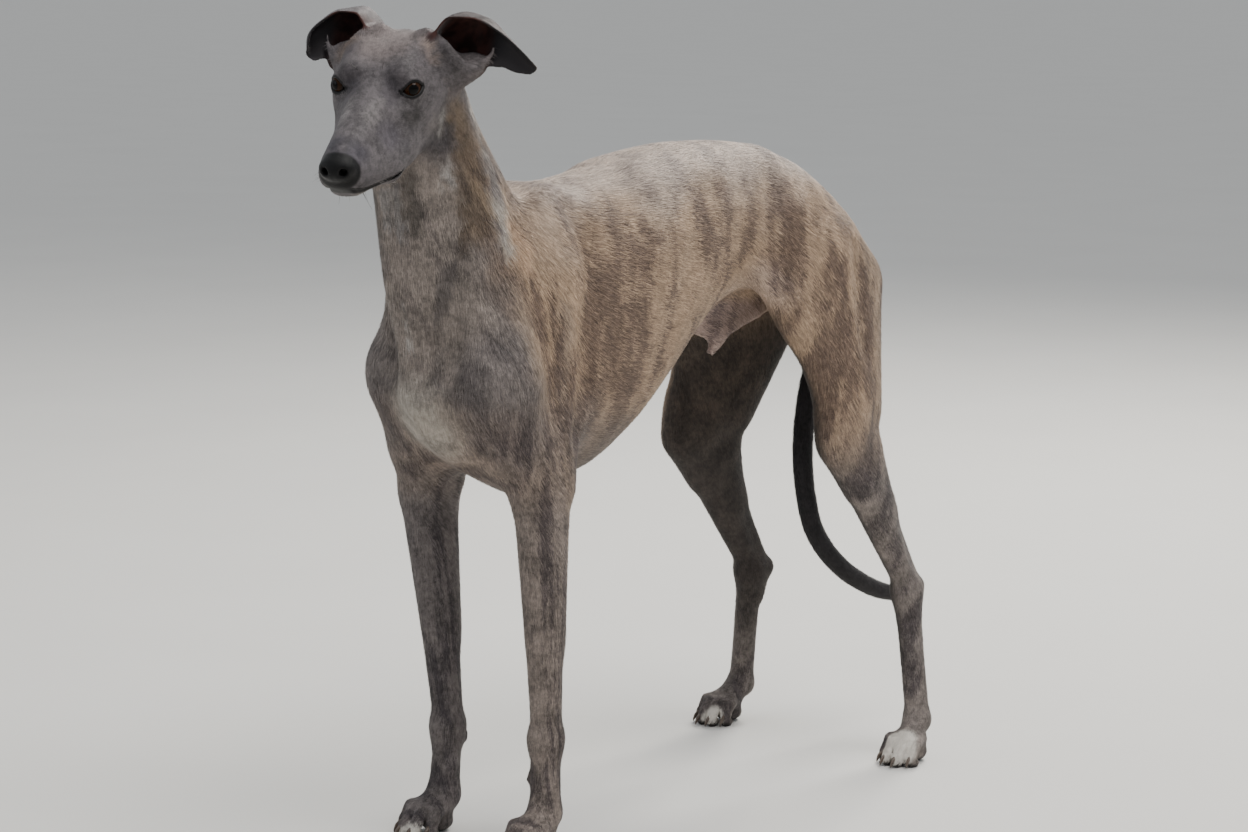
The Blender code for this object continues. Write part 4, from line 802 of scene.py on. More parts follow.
def ear_sheet(side, along, across):
    """The middle surface of an ear: a grid of points, root to tip and upper edge to lower edge."""
    rows = np.array(EAR[side], float)
    at = np.linspace(0, 1, len(rows))
    t = np.linspace(0, 1, along)
    rails = np.stack([
        np.stack([smooth_curve(at, rows[:, k, c])(t) for c in range(3)], -1) for k in range(3)
    ], 1)
    s = np.linspace(0, 1, across)[None, :, None]
    upper, back, lower = rails[:, None, 0], rails[:, None, 1], rails[:, None, 2]
    bow = 2 * back - (upper + lower) / 2
    local = upper * (1 - s) ** 2 + bow * 2 * s * (1 - s) + lower * s * s
    return vec(*HEAD_PLACE) + local @ HEAD_AXES.T


# From the field to a mesh

CUBE = np.array([(i & 1, i >> 1 & 1, i >> 2 & 1) for i in range(8)])
CUBE_EDGES = [(a, b) for a in range(8) for b in range(a + 1, 8) if bin(a ^ b).count("1") == 1]
CUBE_FACES = [[i for i in range(8) if (i >> axis & 1) == end] for axis in range(3) for end in (0, 1)]


def patches_of(case):
    """Which sheet of the surface crosses each edge of a cube, for one pattern of corners inside."""
    sheet = list(range(12))
    cut = [e for e, (a, b) in enumerate(CUBE_EDGES) if (case >> a ^ case >> b) & 1]
    for face in CUBE_FACES:
        crossed = [e for e in cut if set(CUBE_EDGES[e]) <= set(face)]
        if len(crossed) == 2:
            pairs = [crossed]
        else:
            pairs = [[e for e in crossed if corner in CUBE_EDGES[e]] for corner in face if case >> corner & 1]
        for pair in pairs:
            if len(pair) == 2:
                old, new = sheet[pair[1]], sheet[pair[0]]
                sheet = [new if s == old else s for s in sheet]
    kinds = sorted({sheet[e] for e in cut})
    return [kinds.index(s) if s in kinds else 0 for s in sheet], len(kinds)


PATCHES = [patches_of(case) for case in range(256)]
PATCH_OF_EDGE = np.array([patch for patch, _ in PATCHES])
PATCH_COUNT = np.array([count for _, count in PATCHES])


def lattice(count):
    """Every whole-number place in a box of that many along each side."""
    return np.stack(np.meshgrid(*(np.arange(n) for n in count), indexing="ij"), -1).reshape(-1, 3)


def field_values(field, low, high, step):
    """The field on a grid, worked out in full only near the surface; the grid's border is outside."""
    blocks = np.ceil((np.array(high, float) - low) / (step * BLOCK)).astype(int)
    coarse = field(low + (lattice(blocks) + 0.5) * step * BLOCK).reshape(blocks)
    value, near = coarse, np.abs(coarse) < 1.3 * step * BLOCK
    for axis in range(3):
        value = np.repeat(value, BLOCK, axis)
        value = np.concatenate([value, value.take([-1], axis)], axis)
        near = np.repeat(near, BLOCK, axis)
        after, before = [(0, 0)] * 3, [(0, 0)] * 3
        after[axis], before[axis] = (0, 1), (1, 0)
        near = np.pad(near, after) | np.pad(near, before)
    value[near] = field(low + np.argwhere(near) * step)
    core = tuple(slice(1, -1) for _ in range(3))
    border = np.ones(value.shape, bool)
    border[core] = False
    value[border] = np.maximum(value[border], step)
    return value


def surface(field, low, high, step):
    """Vertices and quads of the field's zero level, with one vertex for each sheet in a cell it crosses."""
    low = np.array(low, float)
    value = field_values(field, low, high, step)
    count = np.array(value.shape)
    inside = value < 0
    case = np.zeros(count - 1, int)
    for i, (x, y, z) in enumerate(CUBE):
        case |= inside[x:count[0] - 1 + x, y:count[1] - 1 + y, z:count[2] - 1 + z].astype(int) << i
    cells = np.argwhere((case > 0) & (case < 255))
    case = case[tuple(cells.T)]
    start = np.concatenate([[0], np.cumsum(PATCH_COUNT[case])])
    at = np.stack([value[tuple((cells + corner).T)] for corner in CUBE], 1)
    total, hits = np.zeros((start[-1], 3)), np.zeros(start[-1])
    for e, (a, b) in enumerate(CUBE_EDGES):
        cross = np.flatnonzero((at[:, a] < 0) != (at[:, b] < 0))
        share = (at[cross, a] / (at[cross, a] - at[cross, b]))[:, None]
        vertex = start[cross] + PATCH_OF_EDGE[case[cross], e]
        np.add.at(total, vertex, cells[cross] + CUBE[a] + share * (CUBE[b] - CUBE[a]))
        np.add.at(hits, vertex, 1)
    verts = low + total / hits[:, None] * step
    number = np.full(count, -1)
    number[tuple(cells.T)] = np.arange(len(cells))
    quads = []
    for axis in range(3):
        u, v = (axis + 1) % 3, (axis + 2) % 3
        along, du, dv = np.eye(3, dtype=int)[[axis, u, v]]
        here = inside[tuple(slice(0, -1) if k == axis else slice(None) for k in range(3))]
        there = inside[tuple(slice(1, None) if k == axis else slice(None) for k in range(3))]
        edges = np.argwhere(here != there)
        ring = []
        for offset in (0 * du, du, du + dv, dv):
            near, far = offset @ (1, 2, 4), (offset + along) @ (1, 2, 4)
            cell = number[tuple((edges - offset).T)]
            ring.append(start[cell] + PATCH_OF_EDGE[case[cell], CUBE_EDGES.index((near, far))])
        ring = np.stack(ring, 1)
        quads.append(np.where(here[tuple(edges.T)][:, None], ring, ring[:, ::-1]))
    return verts, np.concatenate(quads)


# Where the fine mesh of the head meets the body's: a point and the direction to the head
NECK_TOP = (in_head(0, -0.100, -0.034), tuple(HEAD_AXES @ vec(0, 0.82, 0.57)))
MESH_OVERLAP = 0.012     # how far each is looked for past that place
BODY_BOX = ((-0.20, -0.46, -0.004), (0.20, 0.40, 0.92))
HEAD_BOX = ((-0.12, -0.17, -0.10), (0.17, 0.15, 0.09))


# Markings. Each function gives shares from 0 to 1 at points with their normals.

# The second colour is painted light: the top of the back, made paler as if lit from above and behind
FAWN, PAINTED_LIGHT_BACK = "b2987f", "bdaea2"


def rise(low, high, value):
    """0 below low, 1 above high and smooth between; low may be the greater."""
    share = np.clip((value - low) / (high - low), 0, 1)
    return share * share * (3 - 2 * share)


def spot(p, centre, radii, soft=0.5):
    """A soft-edged patch round a place."""
    far = np.sqrt((((p - vec(*centre)) / radii) ** 2).sum(1))
    return rise(1 + soft, 1 - soft, far)


def head_place(p):
    return (p - vec(*HEAD_PLACE)) @ HEAD_AXES


def wrinkle(p, scale, seed=0.0):
    """A smooth wandering number about 0, for edges that aren't even."""
    q = p * scale + seed
    x, y, z = q.T
    return (np.sin(x + 1.7 * np.sin(y * 0.8 + 1.3)) + np.sin(y * 1.1 + 1.5 * np.sin(z * 0.9 + 0.4))
            + np.sin(z * 1.2 + 1.6 * np.sin(x * 0.7 + 2.1))) / 3


def ear_share(p):
    """How much a point belongs to an ear."""
    q = head_place(p)
    return np.maximum(*(rise(0.010, 0.002, LEAVES[side].plain_distance(p)) for side in (LEFT, RIGHT))) * rise(
        -0.045, -0.055, q[:, 1])


def band(p, places, radius, soft=0.5):
    """A soft-edged stripe round a line through places."""
    near = np.full(len(p), np.inf)
    for a, b in zip(places, places[1:]):
        along = vec(*b) - vec(*a)
        share = np.clip((p - vec(*a)) @ along / (along @ along), 0, 1)
        near = np.minimum(near, np.linalg.norm(p - vec(*a) - share[:, None] * along, axis=1))
    return rise(1 + soft, 1 - soft, near / radius)


# Patches of the head, mirrored, in the head's frame: colour, strength, place, radii
HEAD_PATCHES = (
    ("776c69", 0.70, (0.000, -0.050, 0.036), (0.036, 0.045, 0.022)),    # forehead
    ("867468", 0.60, (0.040, -0.052, 0.020), (0.014, 0.018, 0.016)),    # temple
    ("978475", 0.55, (0.050, -0.066, -0.010), (0.014, 0.016, 0.022)),
    ("565053", 0.70, (0.034, -0.034, 0.018), (0.012, 0.016, 0.018)),
    # The three patches round the eye are partly the face's own darker hair and partly painted shade under the
    # brow and in the hollow before and below the eye
    ("413c3e", 0.75, (0.027, 0.006, 0.016), (0.013, 0.015, 0.014)),     # over the eye
    ("4c474b", 0.75, (0.022, 0.016, 0.000), (0.010, 0.018, 0.014)),     # in front of the eye
    ("3f3b3a", 0.85, (0.038, 0.006, -0.026), (0.014, 0.013, 0.010)),    # under the eye
    ("827c7b", 0.60, (0.012, 0.046, -0.014), (0.007, 0.036, 0.012)),    # pale streak down the muzzle
    ("524d52", 0.75, (0.026, 0.046, -0.036), (0.016, 0.020, 0.014)),
    ("454145", 0.75, (0.032, 0.030, -0.054), (0.012, 0.012, 0.008)),
    ("6c6667", 0.50, (0.022, 0.076, -0.050), (0.012, 0.020, 0.014)),
    ("47434a", 0.85, (0.000, 0.104, -0.038), (0.026, 0.020, 0.014)),    # end of the muzzle
    ("524d4f", 0.60, (0.020, 0.096, -0.062), (0.014, 0.026, 0.012)),
    ("6e6764", 0.60, (0.046, -0.050, -0.044), (0.016, 0.026, 0.016)),   # cheek
    ("979089", 0.70, (0.010, 0.104, -0.083), (0.016, 0.026, 0.006)),    # chin
)

# Bands and patches of neck and body, mirrored, in the design's frame: colour, strength, reach, places. A few
# are painted shade in hollows and painted highlights on ridges.
BODY_BANDS = (
    ("756452", 0.85, 0.019, ((0.056, -0.368, 0.810), (0.061, -0.352, 0.750), (0.058, -0.356, 0.695))),
    ("54473c", 0.75, 0.006, ((0.060, -0.347, 0.800), (0.065, -0.338, 0.750), (0.066, -0.336, 0.720))),
    ("54473c", 0.60, 0.006, ((0.052, -0.376, 0.770), (0.056, -0.370, 0.720), (0.054, -0.372, 0.670))),
    ("9f968d", 0.80, 0.030, ((0.022, -0.318, 0.850), (0.034, -0.290, 0.770))),
    ("b0a9a0", 0.90, 0.016, ((0.044, -0.330, 0.820), (0.062, -0.320, 0.740), (0.066, -0.320, 0.670))),
    ("a29d99", 0.80, 0.007, ((0.054, -0.392, 0.810), (0.050, -0.386, 0.770), (0.050, -0.384, 0.735))),
    # Painted shade in the hollow of the throat beside the windpipe
    ("4a4540", 0.75, 0.010, ((0.020, -0.416, 0.740), (0.022, -0.412, 0.690))),
    ("8b8887", 0.60, 0.006, ((0.004, -0.424, 0.730), (0.006, -0.418, 0.680))),
    # Painted shade in the furrow between the windpipe and the shoulder, down to the chest
    ("4f4a4a", 0.65, 0.009, ((0.046, -0.380, 0.650), (0.036, -0.384, 0.600), (0.028, -0.388, 0.530))),
    # A painted highlight along the ridge down the middle of the chest
    ("aaa5a0", 0.70, 0.0045, ((0.000, -0.408, 0.620), (0.000, -0.398, 0.560), (0.000, -0.388, 0.520))),
    ("b99a7e", 0.85, 0.016, ((0.066, -0.304, 0.690), (0.070, -0.300, 0.650))),
    ("656063", 0.40, 0.040, ((0.088, -0.366, 0.540), (0.092, -0.340, 0.460))),
    # A painted highlight along the rear edge of the upper arm, down to the elbow
    ("a3907f", 0.70, 0.010, (
        (0.096, -0.262, 0.600), (0.098, -0.262, 0.520), (0.100, -0.262, 0.430), (0.092, -0.235, 0.330),
    )),
    ("c4ae9f", 0.60, 0.030, ((0.070, 0.110, 0.590), (0.060, 0.080, 0.560))),
)

# Where the brindle gathers to dark bars, mirrored: reach and places along each
BARS = (
    (0.017, ((0.080, -0.020, 0.690), (0.090, -0.010, 0.640))),
    (0.012, ((0.070, 0.030, 0.700), (0.083, 0.022, 0.650))),
    (0.012, ((0.060, 0.140, 0.700), (0.079, 0.150, 0.655))),
    (0.013, ((0.078, 0.140, 0.640), (0.077, 0.122, 0.590))),
    (0.009, ((0.107, 0.205, 0.620), (0.112, 0.205, 0.550), (0.120, 0.196, 0.490))),
    (0.011, ((0.100, 0.250, 0.600), (0.113, 0.252, 0.530), (0.129, 0.225, 0.460))),
    (0.008, ((0.082, -0.188, 0.690), (0.096, -0.190, 0.620), (0.100, -0.200, 0.540))),
    (0.008, ((0.094, -0.134, 0.650), (0.101, -0.140, 0.570), (0.090, -0.155, 0.490))),
    (0.008, ((0.080, -0.290, 0.640), (0.088, -0.305, 0.580))),
)

# White toes: paw, place from its middle, radii and strength
WHITE_TOES = (
    (HIND_PAW[LEFT], (0.004, -0.036, 0.020), (0.022, 0.036, 0.030), 1.0),
    (HIND_PAW[RIGHT], (0.010, -0.044, 0.010), (0.016, 0.026, 0.020), 0.8),
    (FORE_PAW[RIGHT], (0.006, -0.044, 0.006), (0.016, 0.026, 0.014), 0.8),
    (FORE_PAW[LEFT], (0.0, -0.048, 0.004), (0.016, 0.018, 0.012), 0.6),
)


def markings(p, normal):
    """The coat at points: colour, with painted light and painted shade in it, and dark streaks; mottling,
    bars and ears' cups; place in the brindle.
    """
    x, y, z = p.T
    q = head_place(p)
    soft = wrinkle(p, 45) * 0.012 + wrinkle(p, 120, 3.0) * 0.005
    fine = wrinkle(p, 260, 5.0) * 0.0035 + wrinkle(p, 620, 9.0) * 0.0015
    warped = p + soft[:, None] * (0.4, 0.4, 0.4) + fine[:, None]
    mirrored = np.abs(warped * (1, 0, 0)) + warped * (0, 1, 1)
    face = np.abs(q * (1, 0, 0)) + q * (0, 1, 1) + (soft * 0.3 + fine)[:, None]
    tint = np.tile(colour(FAWN)[:3], (len(p), 1))

    def paint(share, code):
        nonlocal tint
        tint = tint + (vec(*colour(code)[:3]) - tint) * share[:, None]

    on_head = rise(0.755, 0.79, z - 0.3 * (y + 0.36) + soft) * rise(-0.30, -0.34, y)
    # The top of the back, where painted light from above and behind makes the coat paler
    back = rise(0.65, 0.745, z + soft * 2) * rise(-0.33, -0.24, y) * rise(0.35, 0.22, y)
    throat = rise(-0.30, -0.35, y + 0.25 * (z - 0.6) + soft) * rise(0.46, 0.52, z)
    under = rise(0.53, 0.43, z - 0.25 * np.maximum(y, -0.1) + soft) * rise(-0.27, -0.20, y)
    under *= rise(0.16, 0.10, y)
    fore = rise(-0.18, -0.22, y)
    arm = rise(0.54, 0.45, z + soft) * fore
    foreleg = rise(0.44, 0.36, z + soft) * fore
    hindleg = rise(0.46, 0.34, z + soft) * rise(0.10, 0.14, y)
    # The inner side of the hind legs, and most of the far one, is darker: painted shade between the legs and
    # on the far hind leg, which stands in shade
    outward = normal[:, 0] * np.sign(x)
    inner = np.where(x < 0, rise(0.8, 0.2, outward), rise(0.25, -0.55, outward))
    inner *= rise(0.60, 0.50, z) * rise(0.06, 0.12, y) * rise(0.02, 0.20, z)
    far = inner * (x < 0)
    tail = (TAIL_SHAPE.distance(p) < 0.004) * rise(0.64, 0.59, z + soft)
    paint(under * 0.85, "7b736e")
    # Painted light: the top of the back painted paler, with fewer dark streaks there
    paint(back * 0.9, PAINTED_LIGHT_BACK)
    paint(rise(0.20, 0.32, y) * rise(0.72, 0.62, z) * 0.5, "9d8c7c")
    paint(throat * 0.80, "837d7a")
    paint(arm * 0.65, "7f7672")
    # The far foreleg is painted darker than the near one: painted shade on the far side
    paint(foreleg * np.where(x > 0, 0.65, 0.9), "857b75")
    paint(foreleg * (x < 0) * 0.6, "575254")
    paint(hindleg * 0.85, "77716f")
    # Painted shade on the inner sides of the hind legs and on most of the far hind leg
    paint(inner * 0.92, "352e2a")
    paint(tail, "262325")
    paint(on_head * 0.95, "5c5759")
    for code, strength, place, radii in HEAD_PATCHES:
        paint(spot(face, place, radii, 0.45) * strength * on_head, code)
    for code, strength, reach, places in BODY_BANDS:
        paint(band(mirrored, places, reach) * strength * (1 - far), code)
    sheath = rise(0.575, 0.56, z) * rise(0.49, 0.50, z) * (np.abs(x) < 0.03)
    sheath *= rise(0.02, 0.04, y) * rise(0.20, 0.16, y)
    paint(sheath * 0.85, "a8938a")
    chest = spot(warped, (0.000, -0.380, 0.480), (0.044, 0.060, 0.044), 0.5)
    paint(chest * 0.75, "b3aca2")
    toes = [spot(p, moved(paw, *by), radii, 0.3) * share for paw, by, radii, share in WHITE_TOES]
    toes = rise(0.25, 0.75, np.maximum.reduce(toes) + soft * 10)
    paint(toes, "d2ccc3")
    streak = (1 - on_head * 0.85) * (1 - throat * 0.45) * (1 - back * 0.35) * (1 - under * 0.5)
    streak *= (1 - chest) * (1 - toes) * (1 - 0.5 * inner) * (1 - tail)
    mottle = np.maximum.reduce([0.9 * on_head, 0.9 * hindleg, 0.9 * foreleg, 0.8 * arm, 0.8 * throat, inner])
    mottle = np.maximum(mottle, 0.45)
    cup = np.where(q[:, 0] > 0, rise(0.104, 0.088, q[:, 0]), rise(-0.076, -0.062, q[:, 0]))
    bars = np.maximum.reduce([band(mirrored, places, reach, 0.7) for reach, places in BARS])
    # The stripes lean with the shoulder and the thigh, and wander a little
    lean = np.interp(y, (-0.36, -0.24, 0.08, 0.22), (-0.41, 0.12, 0.12, 0.32))
    across = y - lean * (z - 0.6) + 0.0075 * wrinkle(p, 14)
    place = np.stack([across, z * 0.20, x * 0.45], 1)
    return np.column_stack([tint, streak]), np.stack([mottle * (1 - toes), bars, cup], 1), place


def bare_skin(p, normal):
    """Where the skin shows through: nose, dark rims of lids and lips, inside of the ears, pads."""
    q = head_place(p)
    nose = rise(1.30, 1.12, np.sqrt((((q - (0, 0.1235, -0.0495)) / (0.0200, 0.0160, 0.0165)) ** 2).sum(1)))
    nose *= rise(-0.0645, -0.0610, q[:, 2] - 0.5 * (q[:, 1] - 0.135)) * rise(0.108, 0.1135, q[:, 1])
    rims = np.zeros(len(p))
    for side in (LEFT, RIGHT):
        far = np.linalg.norm(p - vec(*eye_centre(side)), axis=1)
        lid = rise(0.0046, 0.0024, np.abs(Opening(side, *EYE_OPENING).distance(p)))
        rims = np.maximum(rims, lid * rise(EYE_RADIUS + 0.0070, EYE_RADIUS + 0.0050, far))
    lips = rise(0.0042, 0.0026, np.abs(q[:, 2] - lip_height(q[:, 1]) - 0.0008))
    lips *= rise(0.028, 0.033, q[:, 1]) * rise(0.145, 0.140, q[:, 1])
    lips *= rise(0.020, 0.016, np.abs(np.abs(q[:, 0]) - lip_half_width(q[:, 1])))
    rims = np.maximum(rims, lips)
    facing = (normal @ HEAD_AXES)[:, 1]
    ear = ear_share(p) * rise(0.0, 0.25, facing)
    pads = rise(0.0085, 0.0050, p[:, 2]) * rise(0.2, -0.2, normal[:, 2])
    return np.stack([nose, rims, ear, pads], 1)


# The lie of the coat, for the dog's left side: a place, where the hair runs there, and how far it is felt.
# The first rows are in the head's frame.
HEAD_LIE = (
    ((0.000, 0.100, -0.020), (0.0, -1.0, 0.25), 0.025),
    ((0.016, 0.060, -0.040), (0.15, -1.0, -0.10), 0.025),
    ((0.000, 0.030, 0.000), (0.0, -1.0, 0.30), 0.025),
    ((0.014, 0.000, 0.025), (0.25, -1.0, 0.45), 0.022),
    ((0.000, -0.070, 0.040), (0.0, -1.0, -0.05), 0.035),
    ((0.040, -0.020, -0.030), (0.10, -1.0, -0.25), 0.025),
    ((0.045, -0.060, -0.030), (0.0, -0.7, -0.75), 0.028),
    ((0.025, 0.030, -0.070), (0.0, -1.0, -0.25), 0.025),
    ((0.000, 0.020, -0.085), (0.0, -1.0, -0.10), 0.030),
    ((0.000, -0.130, 0.000), (0.0, -0.6, -0.80), 0.040),
    ((0.060, -0.080, 0.045), (1.0, -0.35, 0.35), 0.022),
    ((0.120, -0.085, 0.020), (0.8, -0.20, -0.60), 0.030),
)
BODY_LIE = (
    ((0.050, -0.340, 0.780), (0.05, 0.22, -0.97), 0.050),
    ((0.000, -0.415, 0.730), (0.0, 0.15, -0.98), 0.045),
    ((0.000, -0.270, 0.760), (0.0, 0.45, -0.90), 0.050),
    ((0.070, -0.300, 0.660), (0.15, 0.25, -0.95), 0.060),
    ((0.030, -0.385, 0.560), (0.20, 0.05, -0.97), 0.050),
    ((0.000, -0.360, 0.440), (0.0, 0.55, -0.80), 0.040),
    ((0.000, -0.220, 0.395), (0.0, 1.0, 0.05), 0.060),
    ((0.090, -0.300, 0.560), (0.0, 0.25, -0.97), 0.060),
    ((0.090, -0.270, 0.440), (0.0, 0.30, -0.95), 0.050),
    ((0.050, -0.180, 0.720), (0.15, 0.90, -0.30), 0.060),
    ((0.100, -0.140, 0.600), (0.0, 0.95, -0.28), 0.080),
    ((0.060, -0.120, 0.440), (-0.1, 0.95, -0.05), 0.060),
    ((0.000, 0.000, 0.760), (0.0, 1.0, 0.0), 0.070),
    ((0.085, 0.020, 0.650), (0.0, 0.95, -0.28), 0.080),
    ((0.030, 0.060, 0.560), (0.0, 0.95, -0.25), 0.060),
    ((0.040, 0.230, 0.720), (0.1, 0.80, -0.55), 0.060),
    ((0.080, 0.120, 0.580), (0.0, 0.45, -0.88), 0.050),
    ((0.100, 0.230, 0.600), (0.0, 0.42, -0.90), 0.070),
    ((0.110, 0.210, 0.470), (0.0, 0.35, -0.93), 0.060),
    ((0.060, 0.310, 0.540), (0.0, 0.05, -1.0), 0.060),
)


def guides():
    """Places, directions and reach of the coat's lie on both sides, with those along legs and tail."""
    rows = []
    for side in (LEFT, RIGHT):
        mirror = (side, 1, 1)
        for place, run, felt in HEAD_LIE:
            rows.append((in_head(*vec(*place) * mirror), HEAD_AXES @ (vec(*run) * mirror), felt))
        for place, run, felt in BODY_LIE:
            rows.append((vec(*place) * mirror, vec(*run) * mirror, felt))
        for joints in ((ELBOW, CARPUS, FORE_PAW), (STIFLE, HOCK, TOE_JOINT)):
            stops = [vec(*joint[side]) for joint in joints]
            for start, end in zip(stops, stops[1:]):
                rows += [(start + (end - start) * share, end - start, 0.035) for share in (0.15, 0.5, 0.85)]
        for paw in (FORE_PAW, HIND_PAW):
            rows.append((moved(paw[side], 0, -0.02, 0.02), (0, -0.7, -0.7), 0.020))
    stops = [vec(*place) for place, _ in TAIL]
    rows += [((a + b) / 2, b - a, 0.022) for a, b in zip(stops, stops[1:])]
    place, run, felt = (np.array([row[k] for row in rows], float) for k in range(3))
    return place, run / np.linalg.norm(run, axis=1, keepdims=True), felt


def lie(p, normal):
    """The direction of the coat at points of the skin, along its surface."""
    total = np.zeros_like(p)
    for at, along, felt in zip(*guides()):
        weight = np.exp(-((p - at) ** 2).sum(1) / (2 * felt * felt)) + 1e-9
        total += weight[:, None] * along
    total -= normal * (total * normal).sum(1, keepdims=True)
    return total / (np.linalg.norm(total, axis=1, keepdims=True) + 1e-12)


# The skin

def coat_depth(p):
    """How far the skin lies inside the solids: the coat is thinnest on face and feet."""
    face = rise(-0.13, -0.03, head_place(p)[:, 1]) * rise(0.70, 0.76, p[:, 2])
    tail = rise(0.61, 0.58, p[:, 2]) * rise(0.004, 0.0, TAIL_SHAPE.distance(p))
    thin = np.maximum.reduce([face, rise(0.12, 0.04, p[:, 2]), tail])
    return COAT_DEPTH + (FACE_COAT_DEPTH - COAT_DEPTH) * thin


def settled(field, verts, reach):
    """The points moved onto the field's zero level."""
    for _ in range(2):
        value = field(verts)
        slope = np.stack([field(verts + PROBE * axis) - value for axis in np.eye(3)], 1) / PROBE
        steep = (slope * slope).sum(1)
        step = -value / np.maximum(steep, 0.25)
        verts = verts + slope * np.clip(step, -reach, reach)[:, None]
    return verts


def sheet_of(field, low, high, step):
    """A field's surface, with the ears found thicker than they are, so that the grid leaves no hole."""
    for leaf in LEAVES.values():
        leaf.half = EAR_THICKNESS / 2 + EAR_SPARE
    verts, quads = surface(field, low, high, step)
    for leaf in LEAVES.values():
        leaf.half = EAR_THICKNESS / 2
    return settled(field, verts, step * 0.4), quads


def as_bmesh(verts, quads):
    bm = bmesh.new()
    made = [bm.verts.new(v) for v in verts]
    for quad in quads:
        bm.faces.new([made[i] for i in quad])
    return bm


def largest_shell(bm):
    """Drops every closed surface but the one with the most faces."""
    left, shells = set(bm.faces), []
    while left:
        shell, edge = set(), [left.pop()]
        while edge:
            face = edge.pop()
            shell.add(face)
            for other in {f for e in face.edges for f in e.link_faces} & left:
                left.remove(other)
                edge.append(other)
        shells.append(shell)
    shells.sort(key=len)
    bmesh.ops.delete(bm, geom=[f for s in shells[:-1] for f in s], context="FACES")


def trimmed(bm, point, normal):
    """Takes away what lies past the plane."""
    geometry = bm.verts[:] + bm.edges[:] + bm.faces[:]
    bmesh.ops.bisect_plane(bm, geom=geometry, plane_co=point, plane_no=normal, clear_outer=True, dist=1e-7)


def skin_mesh():
    """The skin of the whole dog: a fine mesh for the head, joined to a coarser one for the body."""
    dog = whole_dog()

    def field(p):
        return dog.distance(p) + coat_depth(p)

    point, normal = vec(*NECK_TOP[0]), vec(*NECK_TOP[1]) / np.linalg.norm(NECK_TOP[1])

    def body_field(p):
        return np.maximum(field(p), (p - point) @ normal - MESH_OVERLAP)

    def head_field(p):
        return np.maximum(field(p), (point - p) @ normal - MESH_OVERLAP)

    body = as_bmesh(*sheet_of(body_field, *BODY_BOX, BODY_STEP))
    face = as_bmesh(*sheet_of(head_field, *box_in_head(*HEAD_BOX), HEAD_STEP))
    for part, way in ((body, 1), (face, -1)):
        largest_shell(part)
        trimmed(part, point - way * 0.001 * normal, way * normal)
    mesh = bpy.data.meshes.new("face")
    face.to_mesh(mesh)
    face.free()
    body.from_mesh(mesh)
    bpy.data.meshes.remove(mesh)
    rims = [e for e in body.edges if e.is_boundary]
    for strip in bmesh.ops.bridge_loops(body, edges=rims)["faces"]:
        strip.normal_update()
        if strip.normal.dot(strip.calc_center_median() - Vector(point)) < 0:
            strip.normal_flip()
    verts, quads = sheet_of(lambda p: TAIL_SHAPE.distance(p) + FACE_COAT_DEPTH, *TAIL_BOX, TAIL_STEP)
    tail = [body.verts.new(v) for v in verts]
    for quad in quads:
        body.faces.new([tail[i] for i in quad])
    for v in body.verts:
        v.co.z = max(v.co.z, 0)
    bmesh.ops.translate(body, verts=body.verts, vec=(-CENTRE[0], -CENTRE[1], 0))
    made = bpy.data.meshes.new("skin")
    body.to_mesh(made)
    body.free()
    made.shade_smooth()
    return made


def places(mesh):
    """Vertices in the design's frame, and their normals."""
    count = len(mesh.vertices)
    p, normal = np.empty(count * 3), np.empty(count * 3)
    mesh.vertices.foreach_get("co", p)
    mesh.vertex_normals.foreach_get("vector", normal)
    return p.reshape(-1, 3) + (*CENTRE, 0), normal.reshape(-1, 3)


def write_attribute(mesh, name, values):
    """Stores a number, a vector or four shares for each vertex."""
    values = np.asarray(values, np.float32)
    width = 1 if values.ndim == 1 else values.shape[1]
    kind, slot = {1: ("FLOAT", "value"), 3: ("FLOAT_VECTOR", "vector"), 4: ("FLOAT_COLOR", "color")}[width]
    mesh.attributes.new(name, kind, "POINT").data.foreach_set(slot, values.ravel())


def write_marks(mesh, p, normal, each=1):
    """The markings at places, each written for that many vertices that follow one another."""
    tint, marks, place = markings(p, normal)
    for name, values in (("tint", tint), ("marks", marks), ("brindle", place)):
        write_attribute(mesh, name, np.repeat(values, each, axis=0))


# The coat

def unwrapped_copy(skin):
    """A light copy of the skin with an unwrap of its own shape, for the tufts' places on the bake."""
    copy = bpy.data.objects.new("unwrap", skin.data.copy())
    bpy.context.scene.collection.objects.link(copy)
    thin = copy.modifiers.new("thin", "DECIMATE")
    thin.ratio = UNWRAP_TRIANGLES / (2 * len(copy.data.polygons))
    deselect()
    copy.select_set(True)
    bpy.context.view_layer.objects.active = copy
    bpy.ops.object.modifier_apply(modifier="thin")
    bpy.ops.object.mode_set(mode="EDIT")
    bpy.ops.mesh.select_all(action="SELECT")
    bpy.ops.mesh.quads_convert_to_tris()
    bpy.ops.uv.smart_project(angle_limit=math.radians(66), island_margin=0.004)
    bpy.ops.object.mode_set(mode="OBJECT")
    mesh = copy.data
    uv = np.empty(len(mesh.loops) * 2)
    mesh.uv_layers.active.data.foreach_get("uv", uv)
    corners = np.empty(len(mesh.loops), int)
    mesh.loops.foreach_get("vertex_index", corners)
    spots = np.empty(len(mesh.vertices) * 3)
    mesh.vertices.foreach_get("co", spots)
    spots, corners, uv = spots.reshape(-1, 3), corners.reshape(-1, 3), uv.reshape(-1, 3, 2)
    tree = BVHTree.FromPolygons(spots.tolist(), corners.tolist())
    bpy.data.objects.remove(copy)
    bpy.data.meshes.remove(mesh)
    return tree, spots[corners], uv


def shares_in(triangles, points):
    """Barycentric shares of points in triangles."""
    a, b, c = triangles[:, 0], triangles[:, 1], triangles[:, 2]
    ab, ac, ap = b - a, c - a, points - a

    def dot(u, v):
        return (u * v).sum(1)

    d00, d01, d11, d20, d21 = dot(ab, ab), dot(ab, ac), dot(ac, ac), dot(ap, ab), dot(ap, ac)
    under = d00 * d11 - d01 * d01 + 1e-20
    v, w = (d11 * d20 - d01 * d21) / under, (d00 * d21 - d01 * d20) / under
    return np.clip(np.stack([1 - v - w, v, w], 1), 0, 1)


